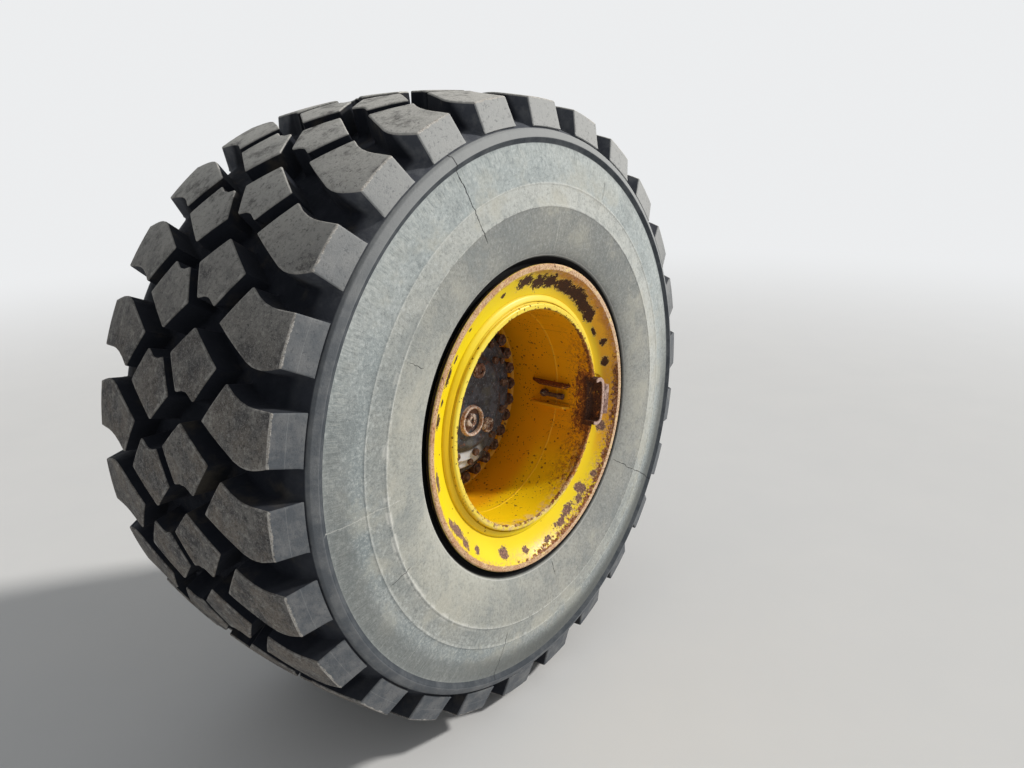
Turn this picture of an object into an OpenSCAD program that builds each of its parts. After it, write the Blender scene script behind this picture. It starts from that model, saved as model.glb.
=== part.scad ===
// Rear wheel of an articulated dump truck: tyre, five-piece rim and planetary
// hub, turning on its axle end with a disc brake.
// Stations are measured along the axle from the outer flange's lip, inboard
// positive. The origin is the centre of the axle end's bolted flange, the
// axle runs along Y with the vehicle on the +Y side, and Z is up.

/* [Tyre] */
// Outer diameter over the middle of the tread
tyre_d = 1606; // [1500:2:1700]
// Section width over the sidewalls
tyre_w = 742; // [700:2:780]
// Tread width from shoulder edge to shoulder edge
tread_w = 640; // [600:2:660]
// How much the radius drops from the middle of the tread to the shoulder edge
crown_drop = 25; // [15:1:30]
// Depth of the grooves under the tread face
groove_depth = 46; // [35:1:52]
// Lugs round each shoulder
lug_count = 26; // [22:1:28]
// Width of a shoulder lug along the tread
lug_w = 103; // [80:1:108]
// Length of a shoulder lug across the tread
lug_len = 190; // [170:1:200]
// Distance from the shoulder edge at which a lug starts to lean
lug_bend = 72; // [60:1:90]
// Angle by which the inner half of a lug leans along the tread
lug_lean = 30; // [20:1:34]
// Length of a centre block across the tread
block_len = 150; // [120:1:156]
// Width of a centre block along the tread
block_w = 145; // [120:1:150]
// Radial distance from the shoulder edge down to the raised band under the lugs
band_drop = 73; // [66:1:82]
// Radial width of the raised band
band_w = 18; // [12:1:24]
// Thickness of the sidewalls
wall_t = 28; // [22:1:34]
// Turn of the tread pattern about the axle at rest
tread_turn = 9.64; // [0:0.1:13]

/* [Rim] */
// Bead seat diameter, 25 inches
rim_d = 635; // [625:1:645]
// Width between the flange faces, 24 inches
rim_w = 610; // [590:2:630]
// Height of the flanges above the bead seat, 3 inches
flange_h = 76.2; // [70:0.1:80]
// Distance from a flange's lip to its tyre-side face
flange_reach = 53; // [48:1:58]
// Depth of a flange's foot against the bead seat band
foot_t = 13; // [10:1:16]
// Height of the bead seats above the rim base
seat_rise = 26.5; // [24:0.5:30]
// Wall thickness of the rim base
base_t = 12; // [9:0.5:14]
// Width of each tapered bead seat
seat_w = 62; // [50:1:70]
// Length of the bead seat band
band_len = 134; // [120:1:150]
// Distance from the flange's foot out to the end of the rim base
lip_reach = 18; // [14:1:20]
// Height of the rim base's end lip over its wall
lip_rise = 3; // [2:0.5:4]
// Thickness of the end lip
lip_t = 8.5; // [6:0.5:10]
// Width of the lock ring's gutter
gutter_w = 21; // [18:1:24]
// Radial thickness of the lock ring
lock_ring_t = 9; // [7:0.5:11]
// Angle that the driver pocket spans
key_angle = 27; // [22:1:34]
// Turn of the driver pocket and its key about the axle
key_turn = -6; // [-30:1:30]
// Radial distance from the rim base's bore out to the inside of the pocket
pocket_rise = 27; // [24:1:29]
// Thickness of the pocket's wall
pocket_t = 11; // [9:1:12]
// Corner radius inside the pocket
key_corner = 14; // [8:1:18]
// Radial thickness of the driver key
key_t = 23; // [18:1:25]
// Length of the pocket and the driver key along the axle
key_len = 32; // [26:1:36]
// Angle between each end of the driver key and the rounded corner beside it
key_clear = 0.6; // [0.3:0.1:2]

/* [Mounting disc] */
// Distance from the flange's lip to the mounting disc's outer face
disc_station = 316; // [300:1:330]
// Thickness of the mounting disc
disc_t = 20; // [16:1:24]
// Number of wheel studs
stud_count = 32; // [24:2:32]
// Radial distance from the rim base's bore in to the middle of the studs
stud_edge = 34; // [28:1:40]
// Diameter of a wheel stud
stud_d = 20; // [16:1:22]
// Height of a wheel nut
nut_h = 26; // [20:1:30]
// Radius of a wheel nut over its corners
nut_r = 18; // [15:0.5:20]
// How far a stud stands out of its nut
stud_out = 8; // [4:1:14]

/* [Valve] */
// Turn of the valve about the axle
valve_turn = -6.5; // [-9:0.5:-5]
// Station of the valve's foot
valve_station = 185; // [170:1:190]
// Length of the valve's stem and cap
valve_len = 70; // [60:1:76]
// Height of the valve guard's fins
fin_h = 28; // [24:1:34]
// Length of the fins
fin_len = 134; // [120:1:150]
// Thickness of the fins
fin_t = 7; // [5:0.5:9]
// Turn of each fin about the axle
fin_turns = [-13, 0.5];

/* [Hub] */
// Radial distance from the studs' middle in to the planetary housing
housing_edge = 30; // [26:1:36]
// Station of the planetary housing's outer face
housing_station = 258; // [250:1:266]
// Radial distance from the housing's edge in to the hub cover's edge
cover_edge = 50; // [44:1:60]
// Thickness of the hub cover's rim
cover_t = 14; // [10:1:18]
// Height of the hub cover's raised middle above the housing
cover_rise = 32; // [24:1:40]
// Number of bolts round the hub cover
cover_bolt_count = 12; // [8:1:16]
// Number of bolts round the planetary housing
housing_bolt_count = 16; // [12:1:20]
// Radius of the drain boss
drain_r = 41.5; // [36:0.5:46]
// Wall thickness of the drain boss
drain_wall = 6.5; // [5:0.5:9]
// How far the drain boss stands out of the cover
drain_h = 14; // [10:1:18]
// Places of the level plugs on the cover: turn and radius
level_places = [[71, 92], [-53, 94]];
// Radius of a level plug
level_r = 21; // [16:1:23]
// Radial clearance of the hub's flange in the rim base
hub_flange_edge = 5; // [4:1:9]
// Thickness of the hub's flange
hub_flange_t = 26; // [20:1:34]
// Outer diameter of the hub barrel
hub_barrel_d = 300; // [290:1:320]
// Distance from the hub's flange to its inboard end
hub_len = 96; // [88:1:104]

/* [Axle end] */
// Diameter of the spindle's inner journal
journal_d = 220; // [200:1:230]
// Diameter of the spindle's nose journal
nose_d = 170; // [150:1:180]
// Length of the nose journal inside the hub
nose_len = 40; // [34:1:46]
// Diameter of the spindle behind the hub
spindle_d = 250; // [240:1:260]
// Diameter of the bore for the drive shaft
shaft_bore_d = 90; // [70:1:100]
// Station of the bolted flange's face
mount_station = 765; // [760:1:800]
// Pitch circle diameter of the bolted flange's holes
mount_pcd = 360; // [340:1:370]
// Radial distance from the holes' middle to the flange's edge
mount_edge = 30; // [24:1:36]
// Thickness of the bolted flange
mount_flange_t = 28; // [22:1:30]
// Number of holes in the bolted flange
mount_holes = 16; // [12:1:20]
// Diameter of the bolted flange's holes
mount_hole_d = 22; // [16:1:24]
// Diameter of the pilot bore in the bolted flange
pilot_d = 140; // [120:1:150]
// Depth of the pilot bore
pilot_depth = 20; // [12:1:24]

/* [Brake] */
// Thickness of the brake disc
brake_t = 22; // [16:1:26]
// Angle that each caliper spans
caliper_angle = 58; // [40:1:70]
// Radial clearance between the calipers and the rim base
caliper_edge = 12; // [8:1:16]
// Radial clearance between the calipers and the hub barrel
caliper_room = 15; // [10:1:20]
// Thickness of a caliper's bridge over the brake disc
bridge_t = 23; // [18:1:28]
// Thickness of a caliper's cheeks
cheek_t = 30; // [24:1:36]
// Thickness of a brake pad
pad_t = 14; // [10:1:18]
// Gap between the calipers or pads and the brake disc
brake_gap = 5; // [5:0.5:7]
// Thickness of the brake carrier
carrier_t = 20; // [16:1:26]

/* [Hidden] */
// Gap between pieces of one body that seat on each other
seat_gap = 0.3;
// Radial clearance of the hub on the spindle
run_gap = 0.1;
// How far each lug runs into the carcass
lug_root = 12;
// Slope of the bead seats, in degrees
seat_slope = 5;
// How far a cutting body runs past the face that it cuts
cut = 10;
$fn = 96;

mid = flange_reach + rim_w / 2;
rim_r = rim_d / 2;
lip_r = rim_r + flange_h;
base_out_r = rim_r - seat_rise;
base_r = base_out_r - base_t;
foot_station = flange_reach - foot_t;
foot_r = rim_r - 3;
nose_station = foot_station - 9;
end_station = foot_station - lip_reach;
gutter_station = end_station + lip_t;
gutter_r = base_out_r + lip_rise - 5.7;
ring_r = gutter_r + seat_gap + lock_ring_t;
key_station = foot_station - key_len;
pocket_in_r = base_r + pocket_rise;
pocket_out_r = pocket_in_r + pocket_t;
pocket_corner = key_corner + pocket_t;
key_in_r = pocket_out_r + seat_gap;
key_out_r = key_in_r + key_t;
gap_corner = pocket_corner + 6;

tyre_r = tyre_d / 2;
half_w = tyre_w / 2;
half_tread = tread_w / 2;
half_bead = rim_w / 2 - seat_gap;
shoulder_r = tyre_r - crown_drop;
groove_r = shoulder_r - groove_depth;
band_r = shoulder_r - band_drop;
pitch = 360 / lug_count;

stud_r = base_r - stud_edge;
housing_r = stud_r - housing_edge;
cover_r = housing_r - cover_edge;
hub_station = disc_station + disc_t;
hub_end = hub_station + hub_len;
hub_barrel_r = hub_barrel_d / 2;
spindle_r = spindle_d / 2;
face_station = housing_station - cover_rise;

brake_station = hub_end;
brake_mid = brake_station + brake_t / 2;
caliper_out_r = base_r - caliper_edge;
caliper_in_r = hub_barrel_r + caliper_room;
brake_r = caliper_out_r - bridge_t - brake_gap;
caliper_half = brake_t / 2 + brake_gap + pad_t + cheek_t;
carrier_station = brake_mid + caliper_half + seat_gap;
caliper_turns = [0, 180];

// Turns the revolved form's axis onto the axle, and its stations onto Y
module on_axle() {
    translate([0, -mount_station, 0])
        rotate([-90, 0, 0])
            children();
}

// Places something at a turn about the axle, counted from +X up to +Z
module at_turn(turn, radius = 0, station = 0) {
    rotate([0, 0, -turn])
        translate([radius, 0, station])
            children();
}

// Repeats something round the axle
module round_axle(count, radius, station, first = 0) {
    for (i = [0:count - 1])
        at_turn(first + i * 360 / count, radius, station) children();
}

// Ring with its radii and its first and last station
module ring(inner_r, outer_r, from, to) {
    rotate_extrude()
        translate([inner_r, from])
            square([outer_r - inner_r, to - from]);
}

// Part of a turn of a profile, about a middle turn
module sector(turn, angle) {
    rotate([0, 0, -turn - angle / 2])
        rotate_extrude(angle = angle)
            children();
}

// Radius of the tread face at a distance from the tread's middle
function crown_r(across) = tyre_r - crown_drop * pow(2 * across / tread_w, 2);

// Points on a sidewall: share of the way from the flange's lip to the raised
// band, and how far the point stands in from the section width
sidewall_rows = [
    [0.013, 39],
    [0.043, 26],
    [0.083, 15],
    [0.145, 7],
    [0.289, 1],
    [0.434, 0],
    [0.447, -2],
    [0.469, 0],
    [0.594, 5],
    [0.610, 3],
    [0.630, 7],
    [0.771, 13]
];

function wall_point(row) = [lip_r + row[0] * (band_r - lip_r), half_w - row[1]];

// Back of a flange, as radius and station, from its lip down to its foot
function flange_back() = [
    [lip_r - 10, 22],
    [lip_r - 34, flange_reach - 10],
    [rim_r + 24, flange_reach]
];

// One side of the tyre's outer profile, as radius and distance from the middle
function carcass_side() = concat(
    [[rim_r - 5, half_bead - seat_w], [rim_r + seat_gap, half_bead]],
    [for (i = [2:-1:0]) [flange_back()[i][0] + 2 * seat_gap, mid - flange_back()[i][1] - seat_gap]],
    [for (row = sidewall_rows) wall_point(row)],
    [
        [band_r - band_w - 13, mid - 10],
        [band_r - band_w, mid - 3],
        [band_r, mid - 12],
        [band_r + 1, mid - 17],
        [band_r + 4, mid - 22],
        [band_r + 11, mid - 36],
        [band_r + 18, mid - 55],
        [groove_r - 4, mid - 76.5],
        [groove_r - 1, mid - 108],
        [groove_r + 1, mid - 150]
    ]);

// Inside of the carcass on the same side, with its walls' thickness
function cavity_side() = [
    [rim_r + 16, half_bead - seat_w - 6],
    [lip_r + 10, half_w - 24 - wall_t * 1.6],
    wall_point([0.26, wall_t + 4]),
    wall_point([0.48, wall_t]),
    wall_point([0.74, wall_t + 14]),
    [band_r + 2, mid - 36 - wall_t],
    [groove_r - 16, mid - 150]
];

function backwards(points) = [for (i = [len(points) - 1:-1:0]) points[i]];
function other_side(points) = [for (p = points) [p[0], -p[1]]];

module carcass() {
    rotate_extrude()
        translate([0, mid])
            polygon(concat(
                carcass_side(), backwards(other_side(carcass_side())),
                other_side(cavity_side()), backwards(cavity_side())));
}

// Shape that all lugs and blocks are cut to: tread face and shoulder sides
module tread_envelope() {
    crown = [for (i = [-4:4]) let (across = i * half_tread / 4) [crown_r(across), across]];
    foot = [
        [band_r + 16, mid - 19.5],
        [band_r + 7, mid - 17],
        [band_r + 3, mid - 50],
        [groove_r - lug_root, mid - 100]
    ];
    rotate_extrude()
        translate([0, mid])
            polygon(concat(crown, foot, other_side(backwards(foot))));
}

// Outline of a shoulder lug: along the tread, and across it from the shoulder edge.
// One flank curves in to a sharp inner corner, and the other bulges out.
function lug_outline() =
    let (
        half = lug_w / 2,
        reach = lug_len - lug_bend,
        lean = tan(lug_lean)
    )
    [
        [-half, -30],
        [-half, lug_bend - 26],
        [-half - 2, lug_bend - 6],
        [-half - 0.11 * reach * lean, lug_bend + 0.12 * reach],
        [-half - 0.26 * reach * lean, lug_bend + 0.30 * reach],
        [-half - 0.49 * reach * lean, lug_bend + 0.49 * reach],
        [half + 14 - reach * lean, lug_len],
        [half + 14 - 0.64 * reach * lean, lug_bend + 0.66 * reach],
        [half + 14 - 0.29 * reach * lean, lug_bend + 0.31 * reach],
        [half + 14 - 0.12 * reach * lean, lug_bend + 0.15 * reach],
        [half + 12, lug_bend],
        [half + 14, lug_bend - 16],
        [half + 12.5, lug_bend - 32],
        [half + 7.5, lug_bend - 50],
        [half + 1, 4],
        [half, -30]
    ];

// Outline of a centre block about the tread's middle, with its notch
function block_outline() = [
    [-0.25 * block_w, -block_len],
    [0.28 * block_w, -block_len + 55],
    [0.17 * block_w, -block_len + 80],
    [0.17 * block_w, -block_len + 98],
    [0.21 * block_w, -block_len + 116],
    [-0.3 * block_w, 6],
    [-0.72 * block_w, -block_len + 92]
];

// Stands an outline on the tread and runs it in to the carcass
module stand_lug(turn, outline, across, side) {
    at_turn(turn, tyre_r + cut, mid)
        rotate([90, 0, -90])
            rotate(side > 0 ? 180 : 0)
                translate([0, across])
                    linear_extrude(tyre_r + cut - band_r)
                        polygon(outline);
}

module lugs() {
    intersection() {
        tread_envelope();
        union()
            for (i = [0:lug_count - 1], side = [-1, 1]) {
                stand_lug(tread_turn + pitch * (i - side * 0.38), lug_outline(), -half_tread, side);
                stand_lug(tread_turn + pitch * i, block_outline(), 0, side);
            }
    }
}

module tyre() {
    color([0.23, 0.23, 0.23])
        on_axle()
            union() {
                carcass();
                lugs();
            }
}

// Section of a flange, as radius and station from its lip
module flange_section() {
    polygon(concat(
        [
            [foot_r, foot_station],
            [lip_r - 17, 3.5],
            [lip_r - 14.5, 0.8],
            [lip_r - 3, 0],
            [lip_r, 3],
            [lip_r, 11]
        ],
        flange_back(),
        [[foot_r, flange_reach]]));
}

module front_flange() {
    color([0.9, 0.72, 0.05])
        on_axle()
            difference() {
                rotate_extrude() flange_section();
                driver_opening();
            }
}

module back_flange() {
    color([0.9, 0.72, 0.05])
        on_axle()
            translate([0, 0, 2 * mid])
                mirror([0, 0, 1])
                    rotate_extrude() flange_section();
}

// Inner end of a bead seat, where it meets the rim base's wall
seat_end_r = rim_r - seat_w * tan(seat_slope);

module bead_seat_band() {
    band_end = nose_station + band_len;
    nose_r = ring_r + seat_gap;
    color([0.9, 0.72, 0.05])
        on_axle()
            difference() {
                rotate_extrude()
                    polygon([
                        [foot_r - seat_gap, flange_reach + seat_gap],
                        [foot_r - seat_gap, foot_station],
                        [foot_r - 2, foot_station - 4],
                        [nose_r + 3, nose_station],
                        [nose_r, nose_station + 1],
                        [nose_r, nose_station + 16],
                        [base_out_r + seat_gap, nose_station + 30],
                        [base_out_r + seat_gap, band_end],
                        [base_out_r + 4, band_end],
                        [seat_end_r, flange_reach + seat_w],
                        [rim_r - seat_gap, flange_reach + seat_gap]
                    ]);
                driver_opening();
            }
}

// Half of the angle that the straight outer side of a rounded outline spans
function straight_half(out_r, half, corner) = half - asin(corner / (out_r - corner));

// Outline about the axle, from a foot radius out to two rounded corners
function rounded_outline(out_r, half, corner, foot_r) =
    let (
        mid_r = out_r - corner,
        turn = straight_half(out_r, half, corner),
        upper = [for (i = [0:5]) let (a = turn + i * (90 + half - turn) / 5)
            [mid_r * cos(turn) + corner * cos(a), mid_r * sin(turn) + corner * sin(a)]],
        arc = [for (i = [-5:5]) [out_r * cos(i * turn / 6), out_r * sin(i * turn / 6)]],
        foot = [foot_r * cos(half), foot_r * sin(half)]
    )
    concat([[foot[0], -foot[1]]], backwards(other_side(upper)), arc, upper, [foot]);

// Body on a rounded outline at the driver's turn, from one station to another
module pocket_body(out_r, half, corner, foot_r, from, to) {
    rotate([0, 0, -key_turn])
        translate([0, 0, from])
            linear_extrude(to - from)
                polygon(rounded_outline(out_r, half, corner, foot_r));
}

// Half angle of the opening that takes the pocket and the driver key
opening_half = key_angle / 2 + seat_gap / pocket_out_r * 180 / PI;

// Opening for the pocket and the driver key in the flange, band and lock ring
module driver_opening() {
    pocket_body(key_out_r + seat_gap, opening_half, gap_corner, base_r - cut, -cut, foot_station + seat_gap);
}

// Outside of the pocket that is formed in the rim base's end
module pocket_outside() {
    pocket_body(pocket_out_r, key_angle / 2, pocket_corner, base_r + 1, key_station, foot_station);
}

// Inside of the pocket, open to the bore and to the outside
module pocket_inside() {
    half = key_angle / 2 - pocket_t / pocket_out_r * 180 / PI;
    pocket_body(pocket_in_r, half, key_corner, base_r - cut, -cut, foot_station + 2);
}

module lock_ring() {
    color([0.86, 0.68, 0.08])
        on_axle()
            difference() {
                rotate_extrude()
                    polygon([
                        [gutter_r + seat_gap, gutter_station + 1 + seat_gap],
                        [base_out_r + lip_rise, gutter_station + seat_gap],
                        [ring_r, gutter_station + 5.5],
                        [ring_r, nose_station + 16],
                        [ring_r - 2.2, gutter_station + gutter_w],
                        [gutter_r + seat_gap, gutter_station + gutter_w]
                    ]);
                driver_opening();
            }
}

module rim_base() {
    back = 2 * mid;
    gutter_end = gutter_station + gutter_w + seat_gap;
    end_r = base_out_r + lip_rise;
    color([0.92, 0.75, 0.08])
        on_axle()
            difference() {
                union() {
                    rotate_extrude()
                        polygon([
                            [base_r, end_station + 2],
                            [base_r + 2, end_station],
                            [end_r - 3, end_station],
                            [end_r, end_station + 3],
                            [end_r, gutter_station],
                            [gutter_r, gutter_station + 1],
                            [gutter_r, gutter_end],
                            [base_out_r, gutter_end + 4],
                            [base_out_r, back - flange_reach - seat_w - 70],
                            [seat_end_r, back - flange_reach - seat_w],
                            [rim_r - seat_gap, back - flange_reach - seat_gap],
                            [foot_r - seat_gap, back - flange_reach - seat_gap],
                            [foot_r - seat_gap, back - foot_station],
                            [rim_r - 8, back - foot_station + 8],
                            [rim_r - 16, back - foot_station + 8],
                            [base_r + 4, back - foot_station + 2],
                            [base_r, back - foot_station - 2]
                        ]);
                    pocket_outside();
                }
                pocket_inside();
            }
}

module driver_key() {
    half = straight_half(key_out_r + seat_gap, opening_half, gap_corner) - key_clear;
    edge = 2;
    color([0.42, 0.24, 0.16])
        on_axle()
            sector(key_turn, 2 * half)
                polygon([
                    [key_in_r, foot_station],
                    [key_in_r, key_station + edge],
                    [key_in_r + edge, key_station],
                    [key_out_r - edge, key_station],
                    [key_out_r, key_station + edge],
                    [key_out_r, foot_station]
                ]);
}

module mounting_disc() {
    color([0.9, 0.72, 0.08])
        on_axle()
            difference() {
                ring(housing_r + seat_gap, base_r - seat_gap, disc_station, disc_station + disc_t);
                wheel_circle(disc_station - cut)
                    cylinder(r = stud_d / 2 + 1.5, h = disc_t + 2 * cut);
            }
}

// Repeats something round the wheel studs
module wheel_circle(station) {
    round_axle(stud_count, stud_r, station, -3.5) children();
}

module valve() {
    radius = base_r - fin_h / 2;
    cap_len = 16;
    color([0.3, 0.27, 0.2])
        on_axle()
            at_turn(valve_turn, radius, valve_station) {
                rotate([0, 90, 0]) cylinder(d = 22, h = fin_h / 2 - seat_gap);
                translate([0, 0, -valve_len]) {
                    cylinder(d = 12, h = valve_len + 8);
                    cylinder(d = 17, h = cap_len);
                }
            }
}

module valve_guard() {
    end = valve_station + 47;
    foot = base_r - seat_gap;
    color([0.8, 0.6, 0.08])
        on_axle()
            for (turn = fin_turns)
                at_turn(turn)
                    rotate([90, 0, 0])
                        linear_extrude(fin_t, center = true)
                            polygon([
                                [foot, end - fin_len],
                                [foot, end],
                                [foot - 4, end],
                                [foot - fin_h, end - 42],
                                [foot - fin_h, end - fin_len + 6],
                                [foot - fin_h + 6, end - fin_len]
                            ]);
}

module hub() {
    color([0.2, 0.22, 0.26])
        on_axle()
            difference() {
                rotate_extrude()
                    polygon([
                        [nose_d / 2 + run_gap, hub_station],
                        [base_r - hub_flange_edge, hub_station],
                        [base_r - hub_flange_edge, hub_station + hub_flange_t],
                        [hub_barrel_r + 30, hub_station + hub_flange_t],
                        [hub_barrel_r, hub_station + hub_flange_t + 30],
                        [hub_barrel_r, hub_end],
                        [journal_d / 2 + run_gap, hub_end],
                        [journal_d / 2 + run_gap, hub_station + nose_len + 8],
                        [nose_d / 2 + run_gap, hub_station + nose_len]
                    ]);
                wheel_circle(hub_station - cut)
                    cylinder(r = stud_d / 2 + seat_gap, h = hub_flange_t + 2 * cut);
            }
}

module planetary_housing() {
    step_r = housing_r - 22;
    color([0.21, 0.23, 0.28])
        on_axle()
            rotate_extrude()
                polygon([
                    [cover_r - 18, housing_station],
                    [step_r - 4, housing_station],
                    [step_r, housing_station + 4],
                    [step_r, housing_station + 14],
                    [housing_r, housing_station + 18],
                    [housing_r, hub_station],
                    [cover_r - 18, hub_station]
                ]);
}

module hub_cover() {
    color([0.2, 0.22, 0.27])
        on_axle()
            difference() {
                union() {
                    rotate_extrude()
                        polygon([
                            [0, face_station],
                            [cover_r - 49, face_station],
                            [cover_r - 37, face_station + 7],
                            [cover_r - 29, housing_station - cover_t],
                            [cover_r, housing_station - cover_t],
                            [cover_r, housing_station],
                            [0, housing_station]
                        ]);
                    drain_place(-drain_h) cylinder(r = drain_r, h = drain_h + cut);
                }
                drain_place(-drain_h - cut) cylinder(r = drain_r - drain_wall, h = drain_h + cut);
            }
}

// Puts something on the middle of the drain boss, a height above the cover's face
module drain_place(height) {
    at_turn(-105, 45, face_station + height) children();
}

module drain_plug() {
    plug_h = 9;
    color([0.45, 0.3, 0.2])
        on_axle()
            drain_place(-plug_h)
                difference() {
                    cylinder(r = 20, h = plug_h);
                    translate([-6.5, -6.5, -1]) cube([13, 13, plug_h - 2]);
                }
}

module level_plugs() {
    plug_h = 11;
    color([0.4, 0.28, 0.2])
        on_axle()
            for (place = level_places)
                at_turn(place[0], place[1], face_station - plug_h)
                    difference() {
                        cylinder(r = level_r, h = plug_h);
                        translate([0, 0, -1]) cylinder(r = level_r * 0.4, h = plug_h / 2 + 1, $fn = 6);
                    }
}

module cover_bolts() {
    head_h = 10;
    color([0.3, 0.24, 0.2])
        on_axle()
            round_axle(cover_bolt_count, cover_r - 15, housing_station - cover_t - head_h, 8)
                cylinder(r = 11, h = head_h, $fn = 6);
}

module housing_bolts() {
    head_h = 9;
    color([0.3, 0.24, 0.2])
        on_axle()
            round_axle(housing_bolt_count, housing_r - 36, housing_station - head_h, 4)
                cylinder(r = 9, h = head_h, $fn = 6);
}

module wheel_studs() {
    from = disc_station - nut_h - stud_out;
    color([0.35, 0.3, 0.26])
        on_axle()
            wheel_circle(from)
                cylinder(d = stud_d, h = hub_station + hub_flange_t + 10 - from);
}

module wheel_nuts() {
    color([0.38, 0.28, 0.22])
        on_axle()
            wheel_circle(disc_station - nut_h)
                difference() {
                    cylinder(r = nut_r, h = nut_h, $fn = 6);
                    translate([0, 0, -1]) cylinder(r = stud_d / 2 + seat_gap, h = nut_h + 2);
                }
}

module brake_disc() {
    color([0.45, 0.42, 0.4])
        on_axle()
            ring(hub_barrel_r - 20, brake_r, brake_station, brake_station + brake_t);
}

module spindle() {
    collar_station = carrier_station + carrier_t + seat_gap;
    flange_station = mount_station - mount_flange_t;
    color([0.25, 0.26, 0.28])
        on_axle()
            difference() {
                rotate_extrude()
                    polygon([
                        [shaft_bore_d / 2, hub_station - 30],
                        [nose_d / 2, hub_station - 30],
                        [nose_d / 2, hub_station + nose_len + 10],
                        [journal_d / 2, hub_station + nose_len + 18],
                        [journal_d / 2, hub_end + brake_t + 10],
                        [spindle_r, hub_end + brake_t + 20],
                        [spindle_r, collar_station],
                        [spindle_r + 40, collar_station],
                        [spindle_r + 40, collar_station + 24],
                        [spindle_r, collar_station + 50],
                        [spindle_r, flange_station - 30],
                        [spindle_r + 20, flange_station],
                        [mount_pcd / 2 + mount_edge, flange_station],
                        [mount_pcd / 2 + mount_edge, mount_station],
                        [pilot_d / 2, mount_station],
                        [pilot_d / 2, mount_station - pilot_depth],
                        [shaft_bore_d / 2, mount_station - pilot_depth]
                    ]);
                round_axle(mount_holes, mount_pcd / 2, flange_station - cut)
                    cylinder(d = mount_hole_d, h = mount_flange_t + 2 * cut);
            }
}

module brake_carrier() {
    ring_out_r = spindle_r + 60;
    color([0.28, 0.29, 0.3])
        on_axle()
            union() {
                ring(spindle_r + seat_gap, ring_out_r, carrier_station, carrier_station + carrier_t);
                for (turn = caliper_turns)
                    sector(turn, caliper_angle)
                        translate([ring_out_r - 10, carrier_station])
                            square([caliper_out_r - 6 - ring_out_r + 10, carrier_t]);
            }
}

module calipers() {
    slot = brake_t / 2 + brake_gap + pad_t + seat_gap;
    bevel = 12;
    color([0.55, 0.5, 0.12])
        on_axle()
            for (turn = caliper_turns)
                sector(turn, caliper_angle)
                    translate([0, brake_mid])
                        polygon([
                            [caliper_in_r, -caliper_half],
                            [caliper_out_r - 8, -caliper_half],
                            [caliper_out_r, -caliper_half + bevel],
                            [caliper_out_r, caliper_half - bevel],
                            [caliper_out_r - 8, caliper_half],
                            [caliper_in_r, caliper_half],
                            [caliper_in_r, slot],
                            [brake_r + brake_gap, slot],
                            [brake_r + brake_gap, -slot],
                            [caliper_in_r, -slot]
                        ]);
}

module brake_pads() {
    from_disc = brake_t / 2 + brake_gap;
    color([0.2, 0.2, 0.2])
        on_axle()
            for (turn = caliper_turns, station = [brake_mid - from_disc - pad_t, brake_mid + from_disc])
                sector(turn, caliper_angle - 10)
                    translate([caliper_in_r + 3, station])
                        square([brake_r - caliper_in_r - 3, pad_t]);
}

tyre();
rim_base();
front_flange();
back_flange();
bead_seat_band();
lock_ring();
driver_key();
mounting_disc();
valve();
valve_guard();
hub();
planetary_housing();
hub_cover();
cover_bolts();
housing_bolts();
drain_plug();
level_plugs();
wheel_studs();
wheel_nuts();
brake_disc();
spindle();
brake_carrier();
calipers();
brake_pads();
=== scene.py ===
from math import asin, atan2, cos, degrees, hypot, pi, radians, sin, tan

import bmesh
import bpy
from mathutils import Matrix, Vector


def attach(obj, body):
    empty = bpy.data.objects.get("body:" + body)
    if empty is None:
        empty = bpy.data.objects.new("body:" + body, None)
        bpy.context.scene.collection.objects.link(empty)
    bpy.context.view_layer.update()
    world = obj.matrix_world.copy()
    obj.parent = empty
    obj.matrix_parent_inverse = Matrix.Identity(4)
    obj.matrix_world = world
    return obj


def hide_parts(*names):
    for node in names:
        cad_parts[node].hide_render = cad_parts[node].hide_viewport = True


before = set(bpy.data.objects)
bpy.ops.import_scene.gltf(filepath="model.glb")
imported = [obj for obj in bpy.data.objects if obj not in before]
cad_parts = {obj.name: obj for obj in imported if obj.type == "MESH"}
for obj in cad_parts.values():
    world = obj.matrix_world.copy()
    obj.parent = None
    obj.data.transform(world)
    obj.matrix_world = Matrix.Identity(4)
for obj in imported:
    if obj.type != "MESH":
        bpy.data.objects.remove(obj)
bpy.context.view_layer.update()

# Main sizes in metres, as in the part's source
TREAD_R = 0.803
CROWN_DROP = 0.025
HALF_TREAD = 0.320
WHEEL_MID = -0.407
LIP_PLANE = -0.765
LUG_COUNT = 26
TREAD_TURN = 9.64
PITCH = 2 * pi * TREAD_R / LUG_COUNT


# Working in edit mode

def deselect():
    if bpy.context.object and bpy.context.object.mode != "OBJECT":
        bpy.ops.object.mode_set(mode="OBJECT")
    bpy.ops.object.select_all(action="DESELECT")


def pick(piece):
    deselect()
    piece.select_set(True)
    bpy.context.view_layer.objects.active = piece
    return piece


def choose(action):
    """Selects or deselects the whole mesh."""
    bpy.ops.mesh.select_all(action=action)


def edit(piece, what="VERT"):
    pick(piece)
    bpy.ops.object.mode_set(mode="EDIT")
    bpy.ops.mesh.select_mode(type=what)
    choose("SELECT")


def done(piece):
    bpy.ops.object.mode_set(mode="OBJECT")
    return piece


def named(piece, name):
    piece.name = piece.data.name = name
    return piece


def select_corners(piece, wanted):
    choose("DESELECT")
    mesh = bmesh.from_edit_mesh(piece.data)
    for corner in mesh.verts:
        corner.select = wanted(corner.co)
    mesh.select_flush_mode()
    bmesh.update_edit_mesh(piece.data)


# Shapes that are drawn, pulled out, turned, joined and cut

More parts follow.
